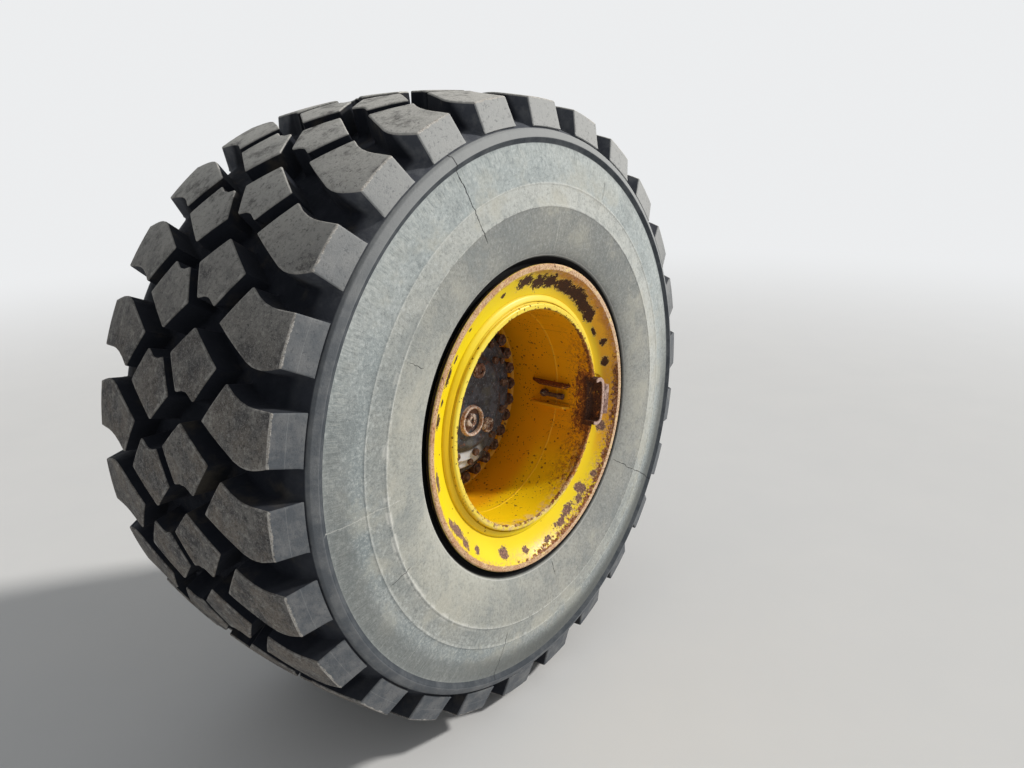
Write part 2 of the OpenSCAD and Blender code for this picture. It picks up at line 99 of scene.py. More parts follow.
def at(turn, radius, station):
    """A place by its turn about the axle in degrees, and its radius and station in mm."""
    angle = radians(turn)
    return Vector((radius * cos(angle), station + 1000 * LIP_PLANE, radius * sin(angle))) * 0.001


def drawn_face(name, corners):
    """A flat face with its corners where they are given."""
    deselect()
    bpy.ops.mesh.primitive_circle_add(vertices=len(corners), radius=1, fill_type="NGON")
    piece = bpy.context.object
    for vertex, corner in zip(piece.data.vertices, corners):
        vertex.co = corner
    return named(piece, name)


def facing_out():
    choose("SELECT")
    bpy.ops.mesh.normals_make_consistent(inside=False)


def pulled_out(piece, move):
    """A drawn face extruded to a closed solid."""
    edit(piece, "FACE")
    bpy.ops.mesh.extrude_region_move(TRANSFORM_OT_translate={"value": move})
    facing_out()
    return done(piece)


def joined(pieces, name):
    deselect()
    for piece in pieces:
        piece.select_set(True)
    bpy.context.view_layer.objects.active = pieces[0]
    bpy.ops.object.join()
    return named(pieces[0], name)


def copied(piece):
    twin = piece.copy()
    twin.data = piece.data.copy()
    bpy.context.scene.collection.objects.link(twin)
    return twin


def combined(piece, other, operation, overlapping=False):
    pick(piece)
    cut = piece.modifiers.new("cut", "BOOLEAN")
    cut.object = other
    cut.operation = operation
    cut.solver = "EXACT"
    cut.use_self = overlapping
    bpy.ops.object.modifier_apply(modifier="cut")
    bpy.data.objects.remove(other)
    return piece


def turned(name, section, steps=160, angle=360, first=0):
    """A ring spun about the axle. Each corner of its section has a radius, station and rounding in mm."""
    piece = drawn_face(name, [at(first, radius, station) for radius, station, _ in section])
    edit(piece)
    for size in sorted({corner[2] for corner in section} - {0}):
        places = [at(first, radius, station) for radius, station, rounding in section if rounding == size]
        select_corners(piece, lambda co: any((co - place).length < 1e-5 for place in places))
        bpy.ops.mesh.bevel(offset=size * 0.001, segments=3, profile=0.5, clamp_overlap=False,
                           affect="VERTICES")
    choose("SELECT")
    if angle == 360:
        bpy.ops.mesh.delete(type="ONLY_FACE")
        bpy.ops.mesh.select_mode(type="EDGE")
        choose("DESELECT")
        for edge in bmesh.from_edit_mesh(piece.data).edges:
            edge.select = all(hypot(v.co.x, v.co.z) < 1e-6 for v in edge.verts)
        bpy.ops.mesh.delete(type="EDGE")
        choose("SELECT")
    bpy.ops.mesh.spin(steps=steps, angle=radians(angle), center=(0, 0, 0), axis=(0, 1, 0))
    choose("SELECT")
    bpy.ops.mesh.remove_doubles(threshold=1e-6)
    facing_out()
    return done(piece)


def round_the_axle(piece, count, first=0):
    """Turns a piece from +X to its first place, and copies it in even steps about the axle."""
    about = {"orient_axis": "Y", "center_override": (0, 0, 0)}
    edit(piece)
    bpy.ops.transform.rotate(value=radians(first), **about)
    for _ in range(count - 1):
        bpy.ops.mesh.duplicate()
        bpy.ops.transform.rotate(value=radians(360 / count), **about)
    return done(piece)


def bevelled(piece, width, angle=35, segments=2):
    """The piece with all its sharp edges rounded."""
    pick(piece)
    bevel = piece.modifiers.new("bevel", "BEVEL")
    bevel.width = width * 0.001
    bevel.segments = segments
    bevel.limit_method = "ANGLE"
    bevel.angle_limit = radians(angle)
    bpy.ops.object.modifier_apply(modifier="bevel")
    return piece


def smooth(piece, angle=50):
    """Smooth where it is round, with the flats kept flat."""
    pick(piece)
    bpy.ops.object.shade_smooth_by_angle(angle=radians(angle))
    weighted = piece.modifiers.new("flats", "WEIGHTED_NORMAL")
    weighted.keep_sharp = True
    bpy.ops.object.modifier_apply(modifier="flats")
    return piece


def fitted(piece, slot, material, *nodes, body="wheel", angle=50):
    """Smooths a finished piece, gives it its material and body, and puts it in place of its CAD nodes."""
    smooth(piece, angle)
    piece.data.materials.clear()
    piece.data.materials.append(material)
    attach(piece, body)
    if nodes:
        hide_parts(*nodes)
    return piece


def softened(node, width, slot, material, body="wheel"):
    """A cast or machined CAD node with its edges rounded, or left sharp where the width is 0."""
    piece = named(copied(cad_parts[node]), node + "_rounded")
    piece.parent = None
    for key in list(piece.keys()):
        del piece[key]
    edit(piece)
    bpy.ops.mesh.remove_doubles(threshold=1e-5)
    bpy.ops.mesh.dissolve_limited(angle_limit=radians(1))
    done(piece)
    if width:
        bevelled(piece, width)
    return fitted(piece, slot, material, node, body=body)


# Materials

class Nodes:
    """A node tree that is put together node by node."""

    def __init__(self, tree):
        self.tree = tree

    def add(self, kind, inputs=None, output=0, **settings):
        node = self.tree.nodes.new(kind)
        for name, value in settings.items():
            setattr(node, name, value)
        for socket, value in (inputs or {}).items():
            self.feed(node.inputs[socket], value)
        return node.outputs[output]

    def feed(self, socket, value):
        if isinstance(value, bpy.types.NodeSocket):
            self.tree.links.new(value, socket)
        elif isinstance(value, tuple) and socket.type == "RGBA":
            socket.default_value = (*value, 1)
        else:
            socket.default_value = value

    def calc(self, operation, a, b=0.0, c=0.0):
        return self.add("ShaderNodeMath", {0: a, 1: b, 2: c}, operation=operation)

    def scaled(self, value, factor, plus):
        return self.calc("MULTIPLY_ADD", value, factor, plus)

    def rise(self, value, low, high):
        """0 up to low and 1 from high, or 1 up to high and 0 from low where low is the larger."""
        inputs = {"Value": value, "From Min": low, "From Max": high}
        return self.add("ShaderNodeMapRange", inputs, interpolation_type="SMOOTHSTEP")

    def less(self, value, taken):
        return self.calc("SUBTRACT", value, taken)

    def between(self, value, low, high, soft):
        below = self.rise(value, high + soft, high - soft)
        return self.both(self.rise(value, low - soft, low + soft), below)

    def distance(self, a, b):
        return self.calc("SQRT", self.scaled(a, a, self.both(b, b)))

    def both(self, *shares):
        result = shares[0]
        for share in shares[1:]:
            result = self.calc("MULTIPLY", result, share)
        return result

    def either(self, *shares):
        result = shares[0]
        for share in shares[1:]:
            result = self.calc("MAXIMUM", result, share)
        return result


class Finish(Nodes):
    """A material. Its patterns stay on the piece and follow the wheel round."""

    def __init__(self, name):
        self.material = bpy.data.materials.new(name)
        self.material.use_nodes = True
        super().__init__(self.material.node_tree)
        self.shader = self.tree.nodes["Principled BSDF"]
        self.place = self.add("ShaderNodeTexCoord", output="Object")
        x, y, z = self.axes_of(self.place)
        self.radius = self.distance(x, z)
        self.station = self.less(y, LIP_PLANE)
        self.height = z
        self.turn_x = self.calc("DIVIDE", x, self.radius)
        self.turn_z = self.calc("DIVIDE", z, self.radius)

    def axes_of(self, place):
        return [self.add("ShaderNodeSeparateXYZ", {0: place}, output=axis) for axis in "XYZ"]

    def ring(self, low, high):
        """How far out a place lies: 0 up to the low radius and 1 from the high one."""
        return self.rise(self.radius, low, high)

    def depth(self, low, high):
        """The same for the distance inwards from the plane of the front flange's lip."""
        return self.rise(self.station, low, high)

    def noise(self, scale, detail=4.0, roughness=0.55, place=None):
        inputs = {"Vector": place or self.place, "Scale": scale, "Detail": detail, "Roughness": roughness}
        return self.add("ShaderNodeTexNoise", inputs)

    def cells(self, scale):
        return self.add("ShaderNodeTexVoronoi", {"Vector": self.place, "Scale": scale})

    def round_places(self, along, outwards):
        """Places counted along the turn and outwards, each drawn out or shortened by its own factor."""
        pairs = ((self.turn_x, along), (self.turn_z, along), (self.radius, outwards))
        return self.add("ShaderNodeCombineXYZ", {i: self.both(*pair) for i, pair in enumerate(pairs)})

    def blend(self, share, a, b):
        return self.add("ShaderNodeMix", {0: share, 6: a, 7: b}, output=2, data_type="RGBA")

    def over(self, colour, tone, *shares):
        """The colour with a tone laid over it, as strongly as the shares multiply to."""
        return self.blend(self.both(*shares), colour, tone)

    def layered(self, colour, layers):
        """The colour with layers laid over it in turn, each given as a tone and its shares."""
        for tone, *shares in layers:
            colour = self.over(colour, tone, *shares)
        return colour

    def towards(self, turn, low, high):
        """Grows from 0 to 1 round the axle towards a turn, between two cosines of the angle from it."""
        cosine, sine = cos(radians(turn)), sin(radians(turn))
        ahead = self.scaled(self.turn_x, cosine, self.both(self.turn_z, sine))
        return self.rise(ahead, low, high)

    def aside(self, turn):
        """Sine of the angle from a turn, as seen from the axle."""
        cosine, sine = cos(radians(turn)), sin(radians(turn))
        return self.scaled(self.turn_x, sine, self.both(self.turn_z, -cosine))

    def patches(self, table):
        """How near the closest oblong patch is: 1 in its middle, 0 at its edge and less outside it."""
        nearest = -1.0
        for turn, radius, half_long, half_broad in table:
            along = self.both(self.aside(turn), radius / half_long)
            out = self.scaled(self.radius, 1000 / half_broad, -radius / half_broad)
            away = self.distance(along, out)
            this_side = self.scaled(self.towards(turn, 0.0, 0.2), 3.0, -2.0)
            nearest = self.either(self.less(this_side, away), nearest)
        return nearest

    def lines(self, table):
        """Thin wandering lines that run outwards: 1 on a line and 0 beside it."""
        wander = self.both(self.less(self.noise(13, 5, 0.72), 0.5), 0.022)
        found = 0.0
        for turn, inner, outer, half_width in table:
            off = self.calc("ABSOLUTE", self.scaled(self.aside(turn), self.radius, wander))
            reach = self.between(self.radius, inner * 0.001, outer * 0.001, 0.006)
            thin = self.rise(off, half_width * 0.0016, half_width * 0.0006)
            found = self.either(self.both(thin, reach, self.towards(turn, 0.0, 0.2)), found)
        return found

    def dressed(self, colour, roughness, height, depth, metal=0.0, shine=0.5):
        self.feed(self.shader.inputs["Base Color"], colour)
        self.feed(self.shader.inputs["Roughness"], roughness)
        self.feed(self.shader.inputs["Metallic"], metal)
        self.shader.inputs["Specular IOR Level"].default_value = shine
        bump = self.add("ShaderNodeBump", {"Distance": depth, "Height": height}, output="Normal")
        self.feed(self.shader.inputs["Normal"], bump)
        return self.material


# Cracks and scratches on the sidewall: turn, inner and outer radius, and half width, in degrees and mm
CRACKS = [(112.3, 506, 712, 0.9), (-32.5, 422, 560, 0.7), (-32.3, 556, 690, 0.9), (-106.8, 556, 686, 0.6),
          (150, 470, 512, 0.5), (-84, 424, 462, 0.6), (62, 596, 640, 0.5), (-158, 520, 575, 0.5)]
SCRATCHES = [(-176.6, 492, 682, 1.0), (-139, 560, 650, 0.6), (81, 430, 520, 0.6)]


def wall_colour(f, mottle, grains, clouds):
    """Dusty grey of the sidewall: darker near the bead, bluish outside, with painted light and shade for a
    sun at the upper right.
    """
    patches = f.rise(f.noise(3.2, 6, 0.62), 0.36, 0.64)
    inner = f.blend(patches, (0.270, 0.280, 0.272), (0.365, 0.365, 0.335))
    # Painted light towards the lower left and painted shade towards the upper right, where the inner wall
    # turns from the sun.
    inner = f.layered(inner, (
        ((0.46, 0.46, 0.405), f.towards(-165, 0.0, 0.95), 0.62),
        ((0.215, 0.225, 0.218), f.towards(75, 0.2, 0.95), 0.45)))
    middle = f.blend(patches, (0.300, 0.322, 0.315), (0.400, 0.405, 0.375))
    outer = f.blend(patches, (0.270, 0.305, 0.312), (0.375, 0.398, 0.392))
    # Painted light and sheen: the middle and outer zones grow paler towards the upper right, where the sun
    # falls on them.
    middle = f.over(middle, (0.60, 0.615, 0.585), f.towards(56, -0.45, 0.85), 0.66)
    outer = f.over(outer, (0.49, 0.535, 0.535), f.towards(66, -0.35, 0.85), 0.56)
    wall = f.blend(f.ring(0.5305, 0.5335), inner, middle)
    wall = f.over(wall, outer, f.ring(0.5810, 0.5880))
    fleck = f.scaled(f.ring(0.50, 0.60), 0.35, 0.22)
    wall = f.layered(wall, (
        ((0.58, 0.61, 0.60), f.rise(grains, 0.50, 0.64), fleck),
        ((0.13, 0.145, 0.148), f.rise(grains, 0.49, 0.36), 0.36),
        ((0.20, 0.222, 0.225), f.rise(mottle, 0.50, 0.68), 0.34),
        ((0.225, 0.250, 0.255), f.rise(clouds, 0.52, 0.66), 0.42)))
    creamy = f.both(f.between(f.radius, 0.445, 0.640, 0.05), f.rise(clouds, 0.50, 0.36))
    wall = f.over(wall, (0.49, 0.475, 0.405), creamy, 0.45)
    wrinkle = f.calc("ABSOLUTE", f.less(f.noise(46, 4, 0.62, f.round_places(1.0, 0.42)), 0.5))
    wall = f.over(wall, (0.12, 0.130, 0.130), f.rise(wrinkle, 0.013, 0.003), f.rise(clouds, 0.44, 0.58), 0.42)

    streaks = f.noise(215, 4, 0.68, f.round_places(1.0, 0.16))
    edge = f.between(f.radius, 0.640, 0.6725, 0.012)
    wall = f.layered(wall, (
        ((0.58, 0.60, 0.57), edge, f.rise(streaks, 0.46, 0.64), 0.42),
        ((0.17, 0.178, 0.172), edge, f.rise(streaks, 0.46, 0.32), 0.42)))
    # Painted shade: the outer zone darkens towards the lower right and the lower left, where the wall turns
    # from the sun.
    away = f.both(f.towards(-52, 0.22, 0.86), f.ring(0.585, 0.650))
    wall = f.over(wall, (0.092, 0.097, 0.094), away, 0.84)
    low = f.both(f.towards(-138, 0.35, 0.90), f.ring(0.600, 0.640))
    wall = f.over(wall, (0.160, 0.167, 0.160), low, 0.55)
    for ridge_radius, strength in ((0.5312, 0.75), (0.5838, 0.60)):
        ridge = f.between(f.radius, ridge_radius - 0.0009, ridge_radius + 0.0009, 0.0009)
        wall = f.over(wall, (0.66, 0.67, 0.64), ridge, f.rise(grains, 0.30, 0.60), strength)
    beside_ridge = f.between(f.radius, 0.524, 0.541, 0.004)
    scuffed = f.both(beside_ridge, f.towards(-165, 0.5, 0.95), f.rise(mottle, 0.48, 0.56))
    # The scuffs are worn rubber. The thin pale ring at 414 mm is a painted highlight on the tyre's edge by
    # the rim, and the black inside it is painted shade in the gap under the flange.
    wall = f.layered(wall, (
        ((0.64, 0.64, 0.60), scuffed, 0.6),
        ((0.50, 0.505, 0.485), f.between(f.radius, 0.4142, 0.4158, 0.0009)),
        ((0.008, 0.008, 0.009), f.ring(0.4140, 0.4095))))
    # Painted shade: the strip between the wall and the shoulder band is darkened, as its face turns towards
    # the axle. Painted light: the band is paler towards the top.
    strip = f.blend(f.rise(mottle, 0.35, 0.7), (0.050, 0.058, 0.068), (0.100, 0.108, 0.118))
    wall = f.over(wall, strip, f.ring(0.6735, 0.6750))
    band = f.blend(f.rise(mottle, 0.35, 0.7), (0.115, 0.126, 0.140), (0.190, 0.198, 0.206))
    band = f.over(band, (0.40, 0.41, 0.41), f.towards(75, 0.1, 0.9), 0.75)
    return f.blend(f.ring(0.6862, 0.6875), wall, band)


def tread_colour(f, mottle, grains, grit, pores):
    """Worn faces, cleaner sides and black flanks of the lugs, with the grooves between them; painted light at
    the top and painted shade in the flanks and grooves.
    """
    across = f.calc("ABSOLUTE", f.less(f.station, WHEEL_MID - LIP_PLANE))
    crown = f.scaled(f.both(across, across), -CROWN_DROP / HALF_TREAD ** 2, TREAD_R)
    below = f.less(crown, f.radius)
    shoulder = f.scaled(f.less(0.778, f.radius), 0.325, 0.3200)
    # Painted light, with some dust: faces and sides grow paler towards the top, where the sun falls, and the
    # faces carry fewer dark grains there.
    top = f.towards(80, 0.15, 0.95)
    low = f.both(f.towards(-140, 0.2, 0.9), f.rise(f.noise(15, 6, 0.7), 0.42, 0.60))
    rim = f.add("ShaderNodeAttribute", output="Fac", attribute_name="lug_rim")
    face = f.blend(f.rise(f.noise(12, 7, 0.72), 0.40, 0.62), (0.068, 0.066, 0.068), (0.160, 0.154, 0.146))
    face = f.layered(face, (
        ((0.62, 0.61, 0.575), top, f.rise(f.noise(16, 6, 0.75), 0.30, 0.52), 0.88),
        ((0.195, 0.165, 0.135), low, 0.6),
        ((0.34, 0.335, 0.32), f.rise(grit, 0.52, 0.66), 0.62)))
    dark_grains = f.both(f.rise(grains, 0.46, 0.34), f.scaled(top, -0.35, 0.70))
    face = f.over(face, (0.036, 0.036, 0.038), dark_grains)
    flecks = f.noise(88, 7, 0.82)
    face = f.layered(face, (
        ((0.33, 0.32, 0.30), f.rise(flecks, 0.53, 0.60), 0.42),
        ((0.030, 0.030, 0.032), f.rise(flecks, 0.45, 0.38), 0.50)))
    scuffed = f.noise(34, 7, 0.80)
    face = f.over(face, (0.36, 0.35, 0.32), f.rise(scuffed, 0.56, 0.64), 0.48)
    worn = f.rise(f.scaled(f.noise(38, 6, 0.75), 1.3, rim), 1.56, 1.80)
    face = f.over(face, (0.40, 0.39, 0.37), worn, 0.58)
    side = f.blend(f.rise(mottle, 0.35, 0.68), (0.105, 0.116, 0.130), (0.185, 0.190, 0.197))
    # Painted light: the sides are paler towards the top.
    side = f.layered(side, (
        ((0.50, 0.505, 0.495), top, 0.74),
        ((0.060, 0.067, 0.078), f.rise(grains, 0.46, 0.34), 0.45)))
    seam = f.between(f.radius, 0.7468, 0.7476, 0.0008)
    side = f.over(side, (0.38, 0.39, 0.395), seam, 0.35)
    corner = f.scaled(f.noise(60, 7, 0.8), 0.016, below)
    bright = f.blend(f.rise(grit, 0.45, 0.6), (0.62, 0.60, 0.56), (0.34, 0.30, 0.26))
    side = f.layered(side, (
        (bright, f.rise(corner, 0.0112, 0.0092), 0.85),
        ((0.02, 0.02, 0.022), pores, f.rise(mottle, 0.46, 0.52))))
    # Black rubber darkened further as painted shade: the flanks and groove floors are near black. The ramp by
    # the shoulder band is paler, with dust and painted light, most at the top.
    flank = f.blend(f.rise(f.noise(11, 5, 0.6), 0.52, 0.78), (0.0095, 0.0115, 0.0175), (0.050, 0.044, 0.036))
    ramp_line = f.scaled(f.noise(6, 2), 0.03, f.both(below, -0.6))
    ramp = f.rise(f.calc("ADD", across, ramp_line), 0.266, 0.290)
    dusty_and_lit = f.blend(f.rise(mottle, 0.4, 0.7), (0.070, 0.076, 0.092), (0.135, 0.142, 0.155))
    flank = f.over(flank, dusty_and_lit, ramp, f.scaled(f.towards(75, 0.0, 0.8), 0.80, 0.20))
    tread = f.blend(f.rise(below, 0.0048, 0.0022), flank, face)
    return f.blend(f.rise(f.less(across, shoulder), -0.0045, -0.0025), tread, side)


def tyre_rubber():
    f = Finish("tyre_rubber")
    mottle = f.noise(26, 6, 0.65)
    grains = f.noise(125, 5, 0.75)
    grit = f.noise(330, 4, 0.7)
    clouds = f.noise(7.5, 6, 0.66)
    pores = f.rise(f.cells(95), 0.075, 0.035)
    wall = wall_colour(f, mottle, grains, clouds)
    colour = f.blend(f.ring(0.7062, 0.7082), wall, tread_colour(f, mottle, grains, grit, pores))
    cracked = f.lines(CRACKS)
    colour = f.layered(colour, (
        ((0.022, 0.023, 0.025), cracked, 0.9),
        ((0.66, 0.66, 0.62), f.lines(SCRATCHES), 0.45)))
    relief = f.scaled(grit, 0.30, f.scaled(grains, 0.55, f.both(mottle, 0.45)))
    relief = f.scaled(cracked, -1.0, relief)
    relief = f.scaled(pores, -0.3, relief)
    return f.dressed(colour, f.rise(mottle, -0.75, 0.75), relief, 0.0018, shine=0.20)


# Patches where the flange's paint is knocked off: turn, radius, half length and breadth, in degrees and mm
FLANGE_CHIPS = [
    (92.5, 355, 34, 20), (83, 348, 32, 20), (76, 350, 28, 17), (65, 349, 46, 17), (55, 350, 54, 18),
    (46, 348, 50, 18), (40, 343, 27, 18), (29.5, 338, 16, 7), (22, 354, 12, 10), (12, 349, 15, 12),
    (-19.5, 348, 20, 14), (-51, 347, 17, 16), (-64, 352, 30, 11), (-71, 357, 26, 9), (-56, 357, 14, 10),
    (-111, 350, 20, 15), (-130, 357, 13, 11), (-146, 353, 30, 15), (-139, 360, 20, 12), (-152, 361, 18, 12),
    (-171.5, 353, 26, 14), (165.5, 345, 20, 13), (149, 343, 27, 13), (158, 336, 9, 6), (141, 337, 11, 7),
    (106, 344, 9, 7), (-97, 356, 12, 8), (-82, 364, 14, 8), (128, 349, 8, 6), (-42, 364, 10, 7)]

# Colours of the rim's yellow paint and of its rust
LEMON = (0.87, 0.675, 0.009)
ORANGE = (0.80, 0.350, 0.004)
PALE_YELLOW = (0.92, 0.740, 0.085)
BARE_RUST = (0.052, 0.024, 0.014)
RED_RUST = (0.26, 0.085, 0.022)
PINK_RUST = (0.50, 0.30, 0.225)


def yellow(f, tone, shade_and_age, share, stained):
    """Gloss yellow that rusts through where share comes near 1, with the bare places as a second value."""
    fine = f.noise(260, 4, 0.7)
    ragged = f.noise(80, 6, 0.72)
    cloudy = f.rise(f.noise(5, 5, 0.6), 0.35, 0.70)
    # Orange where the given share is near 1: painted shade on the flange and the band, age on the valve's
    # guard; faint orange clouds everywhere.
    colour = f.blend(f.either(shade_and_age, f.both(cloudy, 0.20)), tone, ORANGE)
    runs = f.rise(f.calc("ADD", f.noise(26, 5, 0.65), stained), 0.80, 1.20)
    colour = f.over(colour, (0.42, 0.150, 0.014), runs, 0.75)
    holes = f.rise(f.cells(34), 0.105, 0.060)
    dots = f.both(holes, f.rise(f.noise(11, 3), 0.50, 0.56))
    bare = f.either(dots, f.rise(f.calc("ADD", ragged, share), 1.00, 1.05))
    rust = f.blend(f.rise(fine, 0.42, 0.62), RED_RUST, BARE_RUST)
    return f.blend(bare, colour, rust), bare


def finished_paint(f, colour, bare):
    relief = f.scaled(bare, -0.8, f.both(bare, f.noise(200, 4, 0.7), 0.9))
    relief = f.scaled(f.noise(20, 3), 0.25, relief)
    return f.dressed(colour, f.rise(bare, -0.90, 1.3), relief, 0.0010, shine=0.30)


def flange_paint():
    f = Finish("flange_paint")
    fine = f.noise(230, 5, 0.75)
    outwards = f.ring(0.335, 0.376)
    # Painted shade: towards the upper right, where the flange turns from the sun, its yellow is toned orange,
    # growing outwards.
    shaded_side = f.towards(22, 0.38, 0.80)
    shade_and_age = f.both(shaded_side, f.scaled(f.ring(0.330, 0.348), 0.55, 0.35))
    speckled = f.both(f.towards(-48, 0.30, 0.85), outwards)
    burnt = f.both(f.towards(42, 0.35, 0.85), f.ring(0.345, 0.376))
    share = f.scaled(burnt, 0.12, f.scaled(speckled, 0.30, 0.21))
    share = f.scaled(f.ring(0.364, 0.378), 0.10, share)
    stained = f.scaled(burnt, 0.42, f.both(outwards, 0.20))
    colour, bare = yellow(f, LEMON, shade_and_age, share, stained)
    peppered = f.both(f.rise(fine, 0.54, 0.62), f.either(burnt, speckled, f.both(shaded_side, outwards, 0.7)))
    colour = f.over(colour, (0.24, 0.085, 0.018), peppered, 0.62)
    pinkish = f.both(f.either(speckled, f.ring(0.366, 0.377)), f.rise(f.noise(110, 5, 0.75), 0.49, 0.56))
    colour = f.over(colour, f.blend(f.rise(fine, 0.45, 0.6), PINK_RUST, (0.50, 0.20, 0.05)), pinkish, 0.78)

    torn = f.scaled(f.noise(125, 7, 0.8), 2.8, f.both(f.noise(38, 5, 0.7), 2.4))
    near = f.calc("ADD", f.less(torn, 2.60), f.patches(FLANGE_CHIPS))
    knocked = f.rise(near, 0.06, 0.12)
    colour = f.over(colour, (0.90, 0.66, 0.22), f.rise(near, -0.08, 0.02), f.rise(near, 0.12, 0.06), 0.5)
    metal = f.blend(f.rise(f.height, 0.05, -0.12), BARE_RUST, (0.15, 0.085, 0.068))
    metal = f.over(metal, PINK_RUST, f.rise(f.height, 0.05, -0.12), f.rise(fine, 0.50, 0.62))
    colour = f.over(colour, f.blend(f.both(f.rise(fine, 0.48, 0.7), 0.4), metal, RED_RUST), knocked)

    lip = f.both(f.ring(0.3778, 0.3795), f.depth(0.0030, 0.0018))
    worn = f.blend(f.rise(f.noise(36, 5, 0.7), 0.42, 0.62), (0.66, 0.45, 0.27), (0.56, 0.32, 0.18))
    worn = f.layered(worn, (
        ((0.82, 0.62, 0.43), f.towards(0, -0.4, 0.8), 0.62),
        ((0.34, 0.14, 0.050), f.rise(fine, 0.50, 0.60)),
        ((0.12, 0.055, 0.030), f.rise(f.noise(60, 5, 0.7), 0.60, 0.66)),
        ((0.84, 0.64, 0.30), f.rise(f.noise(48, 4, 0.7), 0.40, 0.34))))
    colour = f.over(colour, worn, lip)
    # Painted shade: the lip's outer side and the flange's back, in the gap beside the tyre, are darkened
    # nearly to black.
    outside = f.both(f.ring(0.3915, 0.3930), f.depth(0.0025, 0.0040))
    behind = f.depth(0.012, 0.016)
    hidden = f.both(behind, f.rise(f.scaled(f.station, 1.70, f.radius), 0.4110, 0.4170))
    colour = f.over(colour, (0.045, 0.028, 0.020), f.either(outside, hidden))
    return finished_paint(f, colour, f.either(bare, knocked, lip))


def rusted_pocket(f):
    """Dark rust with orange blooms, as in the driver's pocket."""
    fine = f.noise(210, 5, 0.75)
    rust = f.blend(f.rise(fine, 0.46, 0.60), (0.105, 0.042, 0.022), (0.030, 0.015, 0.011))
    return f.blend(f.rise(f.noise(50, 5, 0.7), 0.57, 0.65), rust, (0.36, 0.14, 0.032))


def barrel_paint():
    f = Finish("barrel_paint")
    mouth = f.depth(0.085, 0.038)
    right = f.towards(-12, 0.35, 0.95)
    low = f.towards(-90, 0.35, 0.95)
    disc_end = f.depth(0.275, 0.316)
    on_lip = f.both(f.depth(0.034, 0.026), f.ring(0.2780, 0.2800))
    inner_edge = f.both(f.depth(0.034, 0.026), f.ring(0.2900, 0.2795))
    around_key = f.both(f.towards(KEY_TURN, 0.930, 0.975), f.depth(0.120, 0.050))
    share = f.scaled(f.both(f.depth(0.130, 0.045), right), 0.20, 0.255)
    share = f.scaled(around_key, 0.20, share)
    share = f.scaled(f.both(mouth, low), 0.05, share)
    share = f.scaled(disc_end, 0.10, share)
    share = f.scaled(inner_edge, 0.25, share)
    stained = f.scaled(f.both(mouth, f.either(right, low)), 0.42, f.both(disc_end, 0.3))
    # Painted light and shade: the barrel is toned orange as its shade, and lemon low at the front, where the
    # sun falls in.
    front_low = f.both(f.towards(-84, 0.55, 0.90), f.depth(0.215, 0.150))
    tone = f.blend(front_low, (0.84, 0.400, 0.006), (0.95, 0.66, 0.006))
    tone = f.over(tone, PALE_YELLOW, on_lip)
    colour, bare = yellow(f, tone, 0.0, share, stained)
    welded = f.both(f.between(f.station, 0.1435, 0.1485, 0.0012), f.rise(f.noise(50, 3), 0.32, 0.48))
    colour = f.over(colour, (0.90, 0.56, 0.05), welded, 0.55)
    fine = f.noise(210, 5, 0.75)
    unevenness = f.both(f.noise(120, 5, 0.75), 0.62)
    spots = f.rise(f.less(f.cells(52), unevenness), -0.11, -0.17)
    specks = f.both(spots, f.rise(f.noise(17, 4), 0.46, 0.52))
    points = f.rise(f.less(f.cells(118), unevenness), -0.09, -0.15)
    pricks = f.both(points, f.rise(f.noise(13, 4), 0.48, 0.55))
    streaky = f.noise(60, 6, 0.78, f.round_places(1.0, 1.0))
    seams = f.both(f.between(f.station, 0.070, 0.165, 0.02), f.rise(streaky, 0.58, 0.62))
    speckled = f.either(specks, pricks, f.both(seams, f.towards(30, 0.1, 0.8)))
    spot = f.blend(f.rise(fine, 0.42, 0.58), (0.200, 0.062, 0.016), (0.070, 0.028, 0.012))
    colour = f.over(colour, spot, speckled, 0.85)
    ragged = f.rise(f.noise(55, 6, 0.75), 0.46, 0.56)
    chalky = f.both(low, f.either(on_lip, f.depth(0.060, 0.034)), ragged)
    chalk = f.blend(f.rise(fine, 0.5, 0.6), (0.80, 0.60, 0.33), (0.55, 0.30, 0.12))
    colour = f.over(colour, chalk, chalky, 0.72)
    near_mouth = f.either(f.both(right, f.depth(0.125, 0.050)), around_key)
    blooming = f.both(near_mouth, f.rise(f.noise(100, 5, 0.75), 0.47, 0.54))
    colour = f.over(colour, f.blend(f.rise(fine, 0.48, 0.58), (0.58, 0.215, 0.030), spot), blooming, 0.8)
    pocket = f.both(f.towards(KEY_TURN, 0.9660, 0.9700), f.depth(0.060, 0.046))
    colour = f.over(colour, rusted_pocket(f), pocket, f.rise(f.noise(40, 5, 0.7), 0.32, 0.38))
    front = f.both(pocket, f.depth(0.0112, 0.0092))
    edge = f.blend(f.rise(fine, 0.46, 0.60), (0.58, 0.42, 0.355), (0.24, 0.125, 0.090))
    colour = f.over(colour, edge, front)
    return finished_paint(f, colour, f.either(bare, pocket, speckled))


def plain_paint(name, tone, share):
    f = Finish(name)
    colour, bare = yellow(f, tone, 0.0, f.both(f.noise(8, 3), share), 0.12)
    return finished_paint(f, colour, bare)


def guard_paint():
    """Paint of the valve's guard, whose upper fin has rusted through."""
    f = Finish("guard_paint")
    upper = f.rise(f.height, -0.030, -0.012)
    share = f.scaled(upper, 0.34, 0.30)
    colour, bare = yellow(f, (0.78, 0.42, 0.020), f.both(upper, 0.8), share, f.both(upper, 0.5))
    return finished_paint(f, colour, bare)


